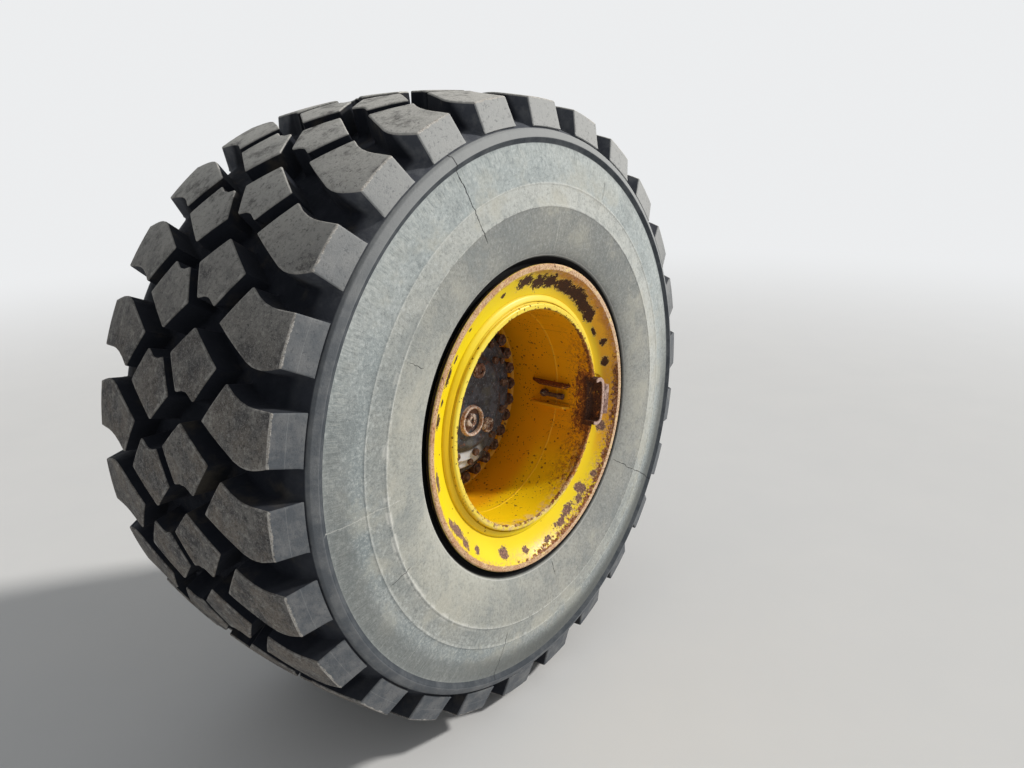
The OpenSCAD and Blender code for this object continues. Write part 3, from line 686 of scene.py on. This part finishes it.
def band_paint():
    """Paint of the bead seat band and the lock ring, with rust along their joint and in the pocket."""
    f = Finish("band_paint")
    seam = f.ring(0.3010, 0.2980)
    # Painted shade: orange towards the left, where the band turns from the sun. Painted light: paler yellow
    # towards the top.
    shaded_left = f.both(f.towards(-165, 0.35, 0.95), 0.38)
    tone = f.blend(f.towards(70, 0.2, 0.9), LEMON, PALE_YELLOW)
    colour, bare = yellow(f, tone, shaded_left, f.scaled(seam, 0.13, 0.240), f.both(seam, 0.3))
    in_pocket = f.both(f.towards(KEY_TURN, 0.9712, 0.9722), f.ring(0.3170, 0.3150))
    colour = f.over(colour, rusted_pocket(f), in_pocket)
    return finished_paint(f, colour, f.either(bare, in_pocket))


def casting(name, dark, pale, rusty, boss=False):
    """Painted cast iron, mottled with oil and dust, and rusting through."""
    f = Finish(name)
    mottle = f.noise(30, 7, 0.75)
    fine = f.noise(170, 5, 0.75)
    colour = f.blend(f.rise(mottle, 0.42, 0.62), dark, pale)
    colour = f.over(colour, (0.23, 0.25, 0.28), f.rise(fine, 0.55, 0.66), 0.7)
    greenish = f.rise(f.noise(14, 5, 0.7), 0.54, 0.66)
    colour = f.over(colour, (0.085, 0.088, 0.072), greenish, 0.6)
    rust = f.rise(f.scaled(f.noise(9, 4), 0.5, f.noise(75, 6, 0.75)), 0.96 - rusty, 1.02 - rusty)
    brown = f.blend(f.rise(fine, 0.4, 0.6), (0.21, 0.075, 0.028), (0.075, 0.034, 0.020))
    colour = f.over(colour, brown, rust)
    if boss:
        middle = {0: f.place, 1: tuple(at(DRAIN_TURN, DRAIN_OUT, 0) * Vector((1, 0, 1)))}
        offset = f.add("ShaderNodeVectorMath", middle, operation="SUBTRACT")
        x, _, z = f.axes_of(offset)
        away = f.distance(x, z)
        raised = f.depth(0.2245, 0.2215)
        crusty = f.blend(f.rise(fine, 0.46, 0.58), (0.62, 0.55, 0.48), (0.36, 0.17, 0.09))
        colour = f.over(colour, crusty, raised, f.rise(away, 0.0335, 0.0350))
        sunk = f.both(f.rise(away, 0.0352, 0.0345), f.rise(f.noise(22, 4), 0.44, 0.56))
        colour = f.over(colour, (0.20, 0.085, 0.035), sunk, 0.8)
        # Painted highlight: a pale bluish patch low on the cover, where the sun glints off the iron.
        painted_highlight = f.both(f.towards(-94, 0.905, 0.960), f.between(f.radius, 0.140, 0.191, 0.006))
        colour = f.over(colour, (0.58, 0.63, 0.70), painted_highlight, f.rise(f.noise(24, 6, 0.7), 0.35, 0.43), 0.9)
    relief = f.scaled(mottle, 0.7, f.both(fine, 0.5))
    return f.dressed(colour, f.rise(mottle, -0.25, 1.0), relief, 0.0016)


def rusty_steel(name, dark, light, pale, pale_share=0.58):
    """Bare steel, brown all over and worn pale in places."""
    f = Finish(name)
    fine = f.noise(210, 5, 0.75)
    colour = f.blend(f.rise(f.noise(70, 6, 0.7), 0.42, 0.60), dark, light)
    colour = f.layered(colour, (
        (pale, f.rise(f.noise(48, 6, 0.7), pale_share, pale_share + 0.08)),
        ((0.040, 0.020, 0.014), f.rise(fine, 0.50, 0.62), 0.8)))
    return f.dressed(colour, f.rise(fine, -1.0, 0.9), fine, 0.0014)


def ground_steel():
    f = Finish("ground_steel")
    rings = f.noise(420, 3, 0.5, f.round_places(0.02, 1.0))
    colour = f.blend(f.rise(rings, 0.35, 0.65), (0.34, 0.33, 0.32), (0.56, 0.55, 0.53))
    rust = f.both(f.rise(f.noise(18, 5, 0.7), 0.50, 0.62), f.ring(0.150, 0.140))
    film = f.both(f.rise(f.noise(12, 4), 0.45, 0.7), 0.35)
    colour = f.over(colour, (0.33, 0.16, 0.07), f.either(rust, film))
    return f.dressed(colour, f.rise(rings, -0.2, 1.8), rings, 0.0002, 0.85)


def brake_lining():
    f = Finish("brake_lining")
    grain = f.noise(500, 3, 0.7)
    colour = f.blend(f.rise(grain, 0.4, 0.62), (0.035, 0.033, 0.032), (0.12, 0.10, 0.085))
    return f.dressed(colour, f.rise(grain, -2.0, 0.8), grain, 0.0004)


# Tyre: one pitch of the tread is modelled flat, rolled up and repeated

# Outside and cavity of the carcass: radius and distance from the middle of the tread, in mm
CARCASS = [
    (733, 0), (733, 120), (732.5, 215), (731, 250), (728, 280), (722.5, 303), (715.5, 322), (708.5, 336),
    (705.5, 341.5), (704.6, 345.5), (702, 347.6), (690, 353.6), (687, 354.6), (684, 353.8), (677, 348.2),
    (672, 347.4), (662, 350), (640, 355.5), (612, 360.2), (588.5, 362.6), (586, 364.6), (583.6, 365.4),
    (581, 364.9), (578, 363.8), (560, 366.8), (538, 369.3), (535, 371.2), (532, 372.3), (529, 371.8),
    (526, 370.4), (505, 370.8), (482, 369.8), (458, 366.8), (438, 363.5), (424, 358.8), (417, 355.6),
    (413, 352.6), (409, 346.5), (403, 338.5), (398, 332.4), (386, 332.6), (361, 314.4), (342.5, 304.7),
    (318, 304.5), (312.5, 242)]
CAVITY = [(334, 238), (404, 300), (474, 338), (543, 343), (624, 329), (707, 294), (716, 208), (717, 0)]

# Tread faces seen from outside: along the tread and in from the shoulder's edge or the middle, in mm
SHOULDER_LUG = [
    (-51.5, -40), (-51.5, 46), (-53.5, 66), (-59, 86), (-69, 107), (-85, 130), (-2.6, 190), (22, 150),
    (46, 109), (57, 90), (63.5, 72), (65.5, 56), (64, 40), (59, 22), (52.5, 4), (51.5, -40)]
MIDDLE_BLOCK = [(-36, -150), (40.6, -95), (24.6, -70), (24.6, -52), (30.4, -34), (-43.5, 6), (-104.4, -58)]

# Share of a pitch between a shoulder lug and the block beside it, and sizes of their flanks in metres
SHOULDER_SHIFT = 0.38
LUG_FOOT = -0.098
LUG_LEAN = 0.009
BLOCK_FOOT = -0.080
BLOCK_LEAN = 0.006
GROOVE_ROUNDING = 0.006
EDGE_ROUNDING = 0.003


def flat(radius, across):
    """A place on a section of the tyre when its tread is laid out flat at its full radius."""
    return (across * 0.001, radius * 0.001 - TREAD_R)


def carcass_strip():
    side = [flat(*point) for point in CARCASS]
    hollow = [flat(*point) for point in CAVITY]
    outside = [(-t, h) for t, h in reversed(side)] + side[1:]
    inside = hollow + [(-t, h) for t, h in reversed(hollow[:-1])]
    corners = [(-2.5 * PITCH, t, h) for t, h in outside + inside]
    return pulled_out(drawn_face("carcass", corners), (5 * PITCH, 0, 0))


def tread_envelope():
    radius, drop, half = (round(1000 * size) for size in (TREAD_R, CROWN_DROP, HALF_TREAD))
    places = range(-half, half + 1, half // 10)
    crown = [flat(radius - drop * (across / half) ** 2, across) for across in places]
    foot = [flat(721, 338.5), flat(713, 341), flat(700, 300)]
    section = crown + foot + [(-t, h) for t, h in reversed(foot)]
    corners = [(-2.6 * PITCH, t, h) for t, h in section]
    return pulled_out(drawn_face("envelope", corners), (5.2 * PITCH, 0, 0))


def spread(outline, by):
    """The outline with every edge moved outwards by the same distance."""
    area = sum(p[0] * q[1] - q[0] * p[1] for p, q in zip(outline, outline[1:] + outline[:1]))
    turn = 1 if area > 0 else -1
    result = []
    for before, here, after in zip(outline[-1:] + outline[:-1], outline, outline[1:] + outline[:1]):
        a = Vector(here) - Vector(before)
        b = Vector(after) - Vector(here)
        out_a = Vector((a.y, -a.x)).normalized() * turn
        out_b = Vector((b.y, -b.x)).normalized() * turn
        middle = (out_a + out_b).normalized()
        result.append(tuple(Vector(here) + middle * by / max(middle.dot(out_a), 0.3)))
    return result


def standing_lug(outline, along, across, side, foot, lean):
    """A lug or block with leaning flanks, from under the groove to above the tread."""
    turned_end = 1 if side < 0 else -1
    corners = [(along + turned_end * u * 0.001, turned_end * (v * 0.001 + across), foot)
               for u, v in spread(outline, lean * 1000)]
    lug = drawn_face("lug", corners)
    edit(lug, "FACE")
    mesh = bmesh.from_edit_mesh(lug.data)
    mesh.faces.ensure_lookup_table()
    if mesh.faces[0].normal.z < 0:
        bpy.ops.mesh.flip_normals()
    bpy.ops.mesh.inset(thickness=lean, depth=0.004 - foot, use_even_offset=True)
    bpy.ops.mesh.select_mode(type="EDGE")
    choose("DESELECT")
    bpy.ops.mesh.select_non_manifold()
    bpy.ops.mesh.edge_face_add()
    facing_out()
    return done(lug)


def tread_strip():
    lugs = []
    for i in range(-2, 3):
        for side in (-1, 1):
            along = PITCH * (i - side * SHOULDER_SHIFT)
            lugs.append(standing_lug(SHOULDER_LUG, along, -HALF_TREAD, side, LUG_FOOT, LUG_LEAN))
            lugs.append(standing_lug(MIDDLE_BLOCK, PITCH * i, 0, side, BLOCK_FOOT, BLOCK_LEAN))
    lugs = combined(joined(lugs, "lugs"), tread_envelope(), "INTERSECT", overlapping=True)
    strip = combined(carcass_strip(), lugs, "UNION", overlapping=True)
    edit(strip)
    bpy.ops.mesh.remove_doubles(threshold=0.00005)
    bpy.ops.mesh.dissolve_limited(angle_limit=radians(0.5))
    return done(strip)


def rounded(piece, least, most, width):
    """Rounds the lugs' edges that turn by an angle in this range, where a hollow edge counts as negative."""
    edit(piece, "EDGE")
    choose("DESELECT")
    for edge in bmesh.from_edit_mesh(piece.data).edges:
        on_lug = all(v.co.z > -0.1 and abs(v.co.y) < 0.3405 for v in edge.verts)
        if on_lug and len(edge.link_faces) == 2:
            if radians(least) < edge.calc_face_angle_signed(0) < radians(most):
                edge.select = True
    bmesh.update_edit_mesh(piece.data)
    bpy.ops.mesh.bevel(offset=width, segments=2, profile=0.5, clamp_overlap=False, affect="EDGES")
    return done(piece)


def one_pitch(strip):
    """Trims the strip to one pitch and cuts it crosswise, so that it bends evenly when it is rolled up."""
    edit(strip, "FACE")
    bpy.ops.mesh.bisect(plane_co=(PITCH / 2, 0, 0), plane_no=(1, 0, 0), clear_outer=True)
    choose("SELECT")
    bpy.ops.mesh.bisect(plane_co=(-PITCH / 2, 0, 0), plane_no=(1, 0, 0), clear_inner=True)
    cuts = [((i * PITCH / 8, 0, 0), (1, 0, 0)) for i in range(-3, 4)]
    step = HALF_TREAD / 10
    cuts += [((0, i * step, 0), (0, 1, 0)) for i in range(-9, 10)]
    for place, facing in cuts:
        choose("SELECT")
        bpy.ops.mesh.bisect(plane_co=place, plane_no=facing)
    return done(strip)


def mark_lug_rims(strip):
    """Stores 1 on every corner of the mesh that lies on a lug's edge, and 0 elsewhere."""
    shape = bmesh.new()
    shape.from_mesh(strip.data)
    sharp = []
    for corner in shape.verts:
        angles = [edge.calc_face_angle(0) for edge in corner.link_edges if len(edge.link_faces) == 2]
        sharp.append(float(any(angle > 0.2 for angle in angles)))
    shape.free()
    strip.data.attributes.new("lug_rim", "FLOAT", "POINT").data.foreach_set("value", sharp)


def rolled_up(piece, turn):
    for vertex in piece.data.vertices:
        along, across, height = vertex.co
        angle = radians(turn) + along / TREAD_R
        radius = TREAD_R + height
        vertex.co = (radius * cos(angle), across + WHEEL_MID, radius * sin(angle))
    return piece


def build_tyre():
    strip = tread_strip()
    rounded(strip, -180, -30, GROOVE_ROUNDING)
    rounded(strip, 35, 180, EDGE_ROUNDING)
    one_pitch(strip)
    mark_lug_rims(strip)
    pitches = [rolled_up(copied(strip), TREAD_TURN + i * 360 / LUG_COUNT) for i in range(LUG_COUNT)]
    bpy.data.objects.remove(strip)
    tyre = joined(pitches, "tyre_body")
    edit(tyre)
    bpy.ops.mesh.remove_doubles(threshold=0.00002)
    bpy.ops.mesh.flip_normals()
    done(tyre)
    fitted(tyre, "tyre_rubber", tyre_rubber(), "tyre")


# Rim: five pieces spun from their sections, with the driver's pocket formed in the base's end

SEAT_END_R = 317.5 - 62 * tan(radians(5))
FLANGE = [
    (314.5, 40, 1), (324, 37.6, 0), (334, 34, 0), (344, 29, 0), (354, 22.6, 0), (364, 14.8, 0), (372, 7.6, 0),
    (376.7, 2.8, 2), (379.2, 0.8, 1), (390.7, 0, 2), (393.7, 3, 1.5), (393.7, 11, 3), (383.7, 22, 4),
    (359.7, 43, 8), (341.5, 53, 8), (314.5, 53, 1)]
BEAD_SEAT_BAND = [
    (314.2, 53.3, 0), (314.2, 40, 1), (312.5, 36, 3), (300.9, 31, 2), (297.9, 32, 1), (297.9, 47, 1),
    (291.3, 61, 1), (291.3, 165, 1), (295, 165, 1), (SEAT_END_R, 115, 2), (317.2, 53.3, 1)]
LOCK_RING = [
    (288.6, 31.8, 1), (294, 30.8, 1), (297.6, 36, 3), (297.6, 47, 2), (295.4, 51.5, 2), (288.6, 51.5, 1)]
RIM_BASE = [
    (279, 24, 1.5), (281, 22, 1), (291, 22, 2), (294, 25, 2), (294, 30.5, 1), (288.3, 31.5, 1),
    (288.3, 51.8, 1), (291, 55.8, 1), (291, 531, 4), (SEAT_END_R, 601, 4), (317.2, 662.7, 2),
    (314.2, 662.7, 1), (314.2, 676, 1), (309.5, 684, 2), (301.5, 684, 3), (283, 678, 4), (279, 674, 3),
    (279, 149.5, 1), (277.9, 147.5, 1), (277.9, 144.5, 1), (279, 142.5, 1)]
WELD_BEAD = [(279.2, 306, 0), (276.2, 308.5, 1), (270.5, 314, 1), (269, 316.2, 0), (279.2, 316.2, 0)]

# Station of the back flange's lip, and sizes of the driver's pocket and key, in degrees and mm
BACK_LIP = 716
CLEARANCE = 0.3
KEY_TURN = -6
POCKET_HALF = 13.5
POCKET_OUT = 317
POCKET_IN = 306
POCKET_CORNER = 25
POCKET_IN_CORNER = 14
KEY_OUT = 340.3
KEY_STATION = 8
FOOT_STATION = 40


def straight_half(outer, half, corner):
    """Half of the angle over which a rounded outline keeps its outer radius."""
    return half - degrees(asin(corner / (outer - corner)))


def pocket_outline(outer, half, corner, foot):
    """An outline about the axle with two rounded outer corners, as turn and radius."""
    middle = outer - corner
    turn = radians(straight_half(outer, half, corner))
    end = radians(90 + half)
    bends = [turn + i * (end - turn) / 8 for i in range(9)]
    x, z = middle * cos(turn), middle * sin(turn)
    bend = [(x + corner * cos(a), z + corner * sin(a)) for a in bends]
    top = [(outer * cos(i * turn / 8), outer * sin(i * turn / 8)) for i in range(-7, 8)]
    last = (foot * cos(radians(half)), foot * sin(radians(half)))
    points = [(last[0], -last[1])] + [(x, -z) for x, z in reversed(bend)] + top + bend + [last]
    return [(degrees(atan2(z, x)), hypot(x, z)) for x, z in points]


def pocket_body(name, outer, half, corner, foot, first, last):
    outline = pocket_outline(outer, half, corner, foot)
    corners = [at(KEY_TURN + turn, radius, first) for turn, radius in outline]
    return pulled_out(drawn_face(name, corners), (0, (last - first) * 0.001, 0))


def opened(name, section):
    """A ring of the rim with its opening for the driver's pocket and key."""
    ring = turned(name, section, 192)
    half = POCKET_HALF + degrees(CLEARANCE / POCKET_OUT)
    outer, last = KEY_OUT + CLEARANCE, FOOT_STATION + CLEARANCE
    opening = pocket_body("opening", outer, half, POCKET_CORNER + 6, 269, -10, last)
    return combined(ring, opening, "DIFFERENCE")


def rim_base():
    base = turned("rim_base_turned", RIM_BASE)
    outside = pocket_body("pocket", POCKET_OUT, POCKET_HALF, POCKET_CORNER, 280, KEY_STATION, FOOT_STATION)
    inner_half = POCKET_HALF - degrees(11 / POCKET_OUT)
    inside = pocket_body("hollow", POCKET_IN, inner_half, POCKET_IN_CORNER, 269, -10, FOOT_STATION + 2)
    outside = bevelled(outside, 2.2, 30)
    return combined(combined(base, outside, "UNION"), inside, "DIFFERENCE")


def driver_key():
    half = straight_half(KEY_OUT + CLEARANCE, POCKET_HALF + 0.054, POCKET_CORNER + 6) - 0.6
    inner = POCKET_OUT + CLEARANCE
    front = [(inner, KEY_STATION, 2), (KEY_OUT, KEY_STATION, 2)]
    section = [(inner, FOOT_STATION, 0), *front, (KEY_OUT, FOOT_STATION, 0)]
    key = turned("driver_key_block", section, 12, 2 * half, KEY_TURN - half)
    return bevelled(key, 1.2, 30)


def weld_bead():
    """The bead between barrel and mounting disc, laid in ripples."""
    bead = turned("weld_bead", WELD_BEAD, 480)
    for vertex in bead.data.vertices:
        turn = degrees(atan2(vertex.co.z, vertex.co.x))
        radius = hypot(vertex.co.x, vertex.co.z)
        if radius < 0.2790:
            ripple = 0.0005 * sin(radians(turn * 120)) + 0.0006 * sin(radians(turn * 17))
            vertex.co = vertex.co * Vector((1 + ripple / radius, 1, 1 + ripple / radius))
    return bead


def build_rim():
    fitted(opened("front_flange_turned", FLANGE), "flange_paint", flange_paint(), "front_flange")
    mirrored = [(radius, BACK_LIP - station, rounding) for radius, station, rounding in FLANGE]
    back_paint = plain_paint("back_flange_paint", (0.84, 0.50, 0.008), 0.80)
    fitted(turned("back_flange_turned", mirrored), "flange_paint", back_paint, "back_flange")
    band = band_paint()
    fitted(opened("bead_seat_band_turned", BEAD_SEAT_BAND), "rim_paint", band, "bead_seat_band")
    fitted(opened("lock_ring_turned", LOCK_RING), "rim_paint", band, "lock_ring")
    barrel = barrel_paint()
    fitted(rim_base(), "rim_paint", barrel, "rim_base")
    fitted(weld_bead(), "rim_paint", barrel)
    mauve = rusty_steel("key_rust", (0.15, 0.078, 0.062), (0.36, 0.225, 0.185), (0.50, 0.36, 0.31), 0.50)
    fitted(driver_key(), "rusty_steel", mauve, "driver_key")


# Hub: castings, plugs, bolts and nuts

HOUSING = [
    (147, 258, 1), (189, 258, 3), (193, 262, 2), (193, 271.5, 3), (215, 276, 4), (215, 336, 1), (147, 336, 1)]
COVER = [(0, 226, 0), (116, 226, 5), (128, 233, 6), (136, 244, 6), (165, 244, 3), (165, 258, 1), (0, 258, 0)]
DRAIN_BOSS = [(35, 226.5, 0), (35, 212, 1.5), (41.5, 212, 2.5), (41.5, 222, 3), (47, 226.5, 0)]
DRAIN_TURN = -105
DRAIN_OUT = 45
DRAIN_PLUG = [(0, 217, 0), (17.5, 217, 1), (20, 219.5, 1), (20, 226, 0), (0, 226, 0)]
LEVEL_PLUG = [
    (0, 215, 0), (13, 215, 1), (14.5, 217, 1), (18.5, 217, 1), (21, 219, 1), (21, 226, 0), (0, 226, 0)]
LEVEL_PLACES = [(71, 92), (-53, 94)]
STUD_CORE = 8.9
STUD_OUT = 10


def at_place(piece, turn, radius):
    """A piece turned about the axle moved out to its own place, without leaning."""
    edit(piece)
    bpy.ops.transform.translate(value=at(turn, radius, 0) - at(turn, 0, 0))
    return done(piece)


def prism(name, sides, corner_radius, first, last):
    """A straight bar with flat sides about the axle's line."""
    deselect()
    middle = at(0, 0, (first + last) / 2)
    bpy.ops.mesh.primitive_cylinder_add(
        vertices=sides, radius=corner_radius * 0.001, depth=(last - first) * 0.001,
        location=middle, rotation=(radians(90), 0, 0))
    piece = named(bpy.context.object, name)
    bpy.ops.object.transform_apply()
    return piece


def hexagon_head(name, corner_radius, first, last, dished=0.0):
    """A hexagon whose corners are turned down at its outer face, with a washer face under it."""
    face = corner_radius * 0.83
    beyond = corner_radius + 1
    rim = corner_radius * 0.93
    trim = [
        (0, first + dished, 0), (face * 0.62, first + dished, 0), (face * 0.70, first, 0), (face, first, 0),
        (beyond, first + (beyond - face) * 0.58, 0), (beyond, last + 1, 0), (0, last + 1, 0)]
    bar = prism(name, 6, corner_radius, first - 1, last - 1.5)
    head = combined(bar, turned("trim", trim, 48), "INTERSECT")
    washer = turned("washer", [(0, last - 2, 0), (rim, last - 2, 0.5), (rim, last, 0), (0, last, 0)], 32)
    return bevelled(combined(head, washer, "UNION"), 0.5, 40, 1)


def socketed(name, section, sides, corner_radius, first, last):
    """A plug with a flat-sided socket for its key."""
    socket = prism("socket", sides, corner_radius, first, last)
    return combined(turned(name, section, 48), socket, "DIFFERENCE")


def thread(first, last, step):
    """Section of a thread's crests between two stations, from the outer end in."""
    points = []
    place = first
    while place + step <= last:
        points += [(STUD_CORE, place + step * 0.2, 0), (STUD_OUT, place + step * 0.7, 0)]
        place += step
    return points


def stud(first, last, nut_end):
    section = [(0, first, 0), (7.5, first, 0), (9, first + 1.5, 0)]
    section += thread(first + 1.5, nut_end, 2.5)
    section += [(STUD_OUT, nut_end + 3, 0), (STUD_OUT, last - 16, 0)] + thread(last - 15, last - 1.5, 2.5)
    section += [(9, last - 1.5, 0), (7.5, last, 0), (0, last, 0)]
    return turned("stud", section, 16)


def nut(first, last):
    head = hexagon_head("nut", 18, first, last)
    bore = prism("bore", 24, STUD_OUT + 0.3, first - 2, last + 2)
    return combined(head, bore, "DIFFERENCE")


def build_hub():
    iron = casting("hub_casting", (0.018, 0.021, 0.028), (0.075, 0.086, 0.110), 0.10, True)
    steel = rusty_steel("bolt_rust", (0.070, 0.034, 0.022), (0.175, 0.105, 0.075), (0.34, 0.29, 0.26))
    plug_rust = rusty_steel("plug_rust", (0.10, 0.045, 0.028), (0.27, 0.150, 0.105), (0.60, 0.51, 0.43), 0.47)
    disc_paint = plain_paint("disc_paint", ORANGE, 0.80)
    softened("mounting_disc", 1.5, "rim_paint", disc_paint)
    softened("valve_guard", 1.0, "rim_paint", guard_paint())
    softened("hub", 2.5, "hub_casting", iron)
    fitted(turned("planetary_housing_turned", HOUSING), "hub_casting", iron, "planetary_housing")
    boss = at_place(turned("boss", DRAIN_BOSS, 64), DRAIN_TURN, DRAIN_OUT)
    fitted(combined(turned("hub_cover_turned", COVER), boss, "UNION"), "hub_casting", iron, "hub_cover")

    plug = socketed("drain_plug_turned", DRAIN_PLUG, 4, 9.2, 215, 225)
    fitted(at_place(plug, DRAIN_TURN, DRAIN_OUT), "rusty_steel", plug_rust, "drain_plug")
    plugs = []
    for turn, radius in LEVEL_PLACES:
        plugs.append(at_place(socketed("plug", LEVEL_PLUG, 6, 8.4, 213, 220.5), turn, radius))
    fitted(joined(plugs, "level_plugs_turned"), "rusty_steel", plug_rust, "level_plugs")

    for name, piece, radius, count, first in (
            ("cover_bolts", hexagon_head("bolt", 11, 234, 244, 1.0), 150, 12, 8),
            ("housing_bolts", hexagon_head("bolt", 9, 249, 258, 0.8), 179, 16, 4),
            ("wheel_nuts", nut(290, 316), 245, 32, -3.5),
            ("wheel_studs", stud(282, 372, 290), 245, 32, -3.5)):
        ring = named(round_the_axle(at_place(piece, 0, radius), count, first), name + "_set")
        fitted(ring, "rusty_steel", steel, name, angle=32)
    softened("valve", 1.0, "rusty_steel", steel)
    softened("brake_disc", 1.0, "brake_steel", ground_steel())
    axle_iron = casting("axle_casting", (0.045, 0.047, 0.050), (0.11, 0.112, 0.115), 0.04)
    for node, width in (("spindle", 2.5), ("brake_carrier", 0), ("calipers", 2.5)):
        softened(node, width, "axle_casting", axle_iron, "axle_end")
    softened("brake_pads", 1.0, "brake_lining", brake_lining(), "axle_end")


# Camera, floor and light

BACKDROP = (0.84, 0.85, 0.86)


def set_stage():
    camera = bpy.data.objects.new("camera", bpy.data.cameras.new("camera"))
    bpy.context.scene.collection.objects.link(camera)
    right = Vector((0.62817997, -0.77768832, -0.02430648))
    down = Vector((-0.24302249, -0.16643393, -0.95563582))
    forward = Vector((0.73914139, 0.6062183, -0.29354621))
    place = Matrix.Translation((-1.554966, LIP_PLANE - 1.189478, 0.698347))
    camera.matrix_world = place @ Matrix((right, -down, -forward)).transposed().to_4x4()
    focal_pixels, photo_width = 819.9565, 1024
    camera.data.sensor_width = 36
    camera.data.lens = 36 * focal_pixels / photo_width
    bpy.context.scene.camera = camera

    deselect()
    bpy.ops.mesh.primitive_plane_add(size=60, location=(0, 0, -TREAD_R))
    floor = named(bpy.context.object, "floor")
    f = Finish("studio_floor")
    grain = f.noise(3, 3)
    f.dressed(f.blend(grain, (0.66, 0.665, 0.67), (0.70, 0.70, 0.70)), 0.9, grain, 0.0005)
    seen = f.add("ShaderNodeLightPath", output="Is Camera Ray")
    away = f.add("ShaderNodeVectorMath", {0: f.place}, output="Value", operation="LENGTH")
    glow = f.add("ShaderNodeEmission", {"Color": BACKDROP, "Strength": 1.0})
    share = f.both(seen, f.rise(away, 2.5, 9.0))
    mixed = f.add("ShaderNodeMixShader", {0: share, 1: f.shader.outputs[0], 2: glow})
    f.feed(f.tree.nodes["Material Output"].inputs["Surface"], mixed)
    floor.data.materials.append(f.material)

    world = bpy.data.worlds.new("studio")
    bpy.context.scene.world = world
    world.use_nodes = True
    sky = Nodes(world.node_tree)
    light = sky.tree.nodes["Background"]
    sky.feed(light.inputs["Color"], (0.97, 0.99, 1.0))
    sky.feed(light.inputs["Strength"], 0.36)
    behind = sky.add("ShaderNodeBackground", {"Color": BACKDROP})
    rays = ("Is Camera Ray", "Is Glossy Ray", "Is Transmission Ray")
    direct = sky.either(*(sky.add("ShaderNodeLightPath", output=ray) for ray in rays))
    mixed = sky.add("ShaderNodeMixShader", {0: direct, 1: light.outputs[0], 2: behind})
    sky.feed(sky.tree.nodes["World Output"].inputs["Surface"], mixed)

    bpy.ops.object.light_add(type="SUN", rotation=(radians(58), 0, radians(50)))
    sun = bpy.context.object
    sun.name = "key_light"
    sun.data.energy = 3.2
    sun.data.angle = radians(6)
    sun.data.color = (1.0, 0.97, 0.92)
    bpy.context.scene.view_settings.view_transform = "Standard"


build_tyre()
build_rim()
build_hub()
set_stage()
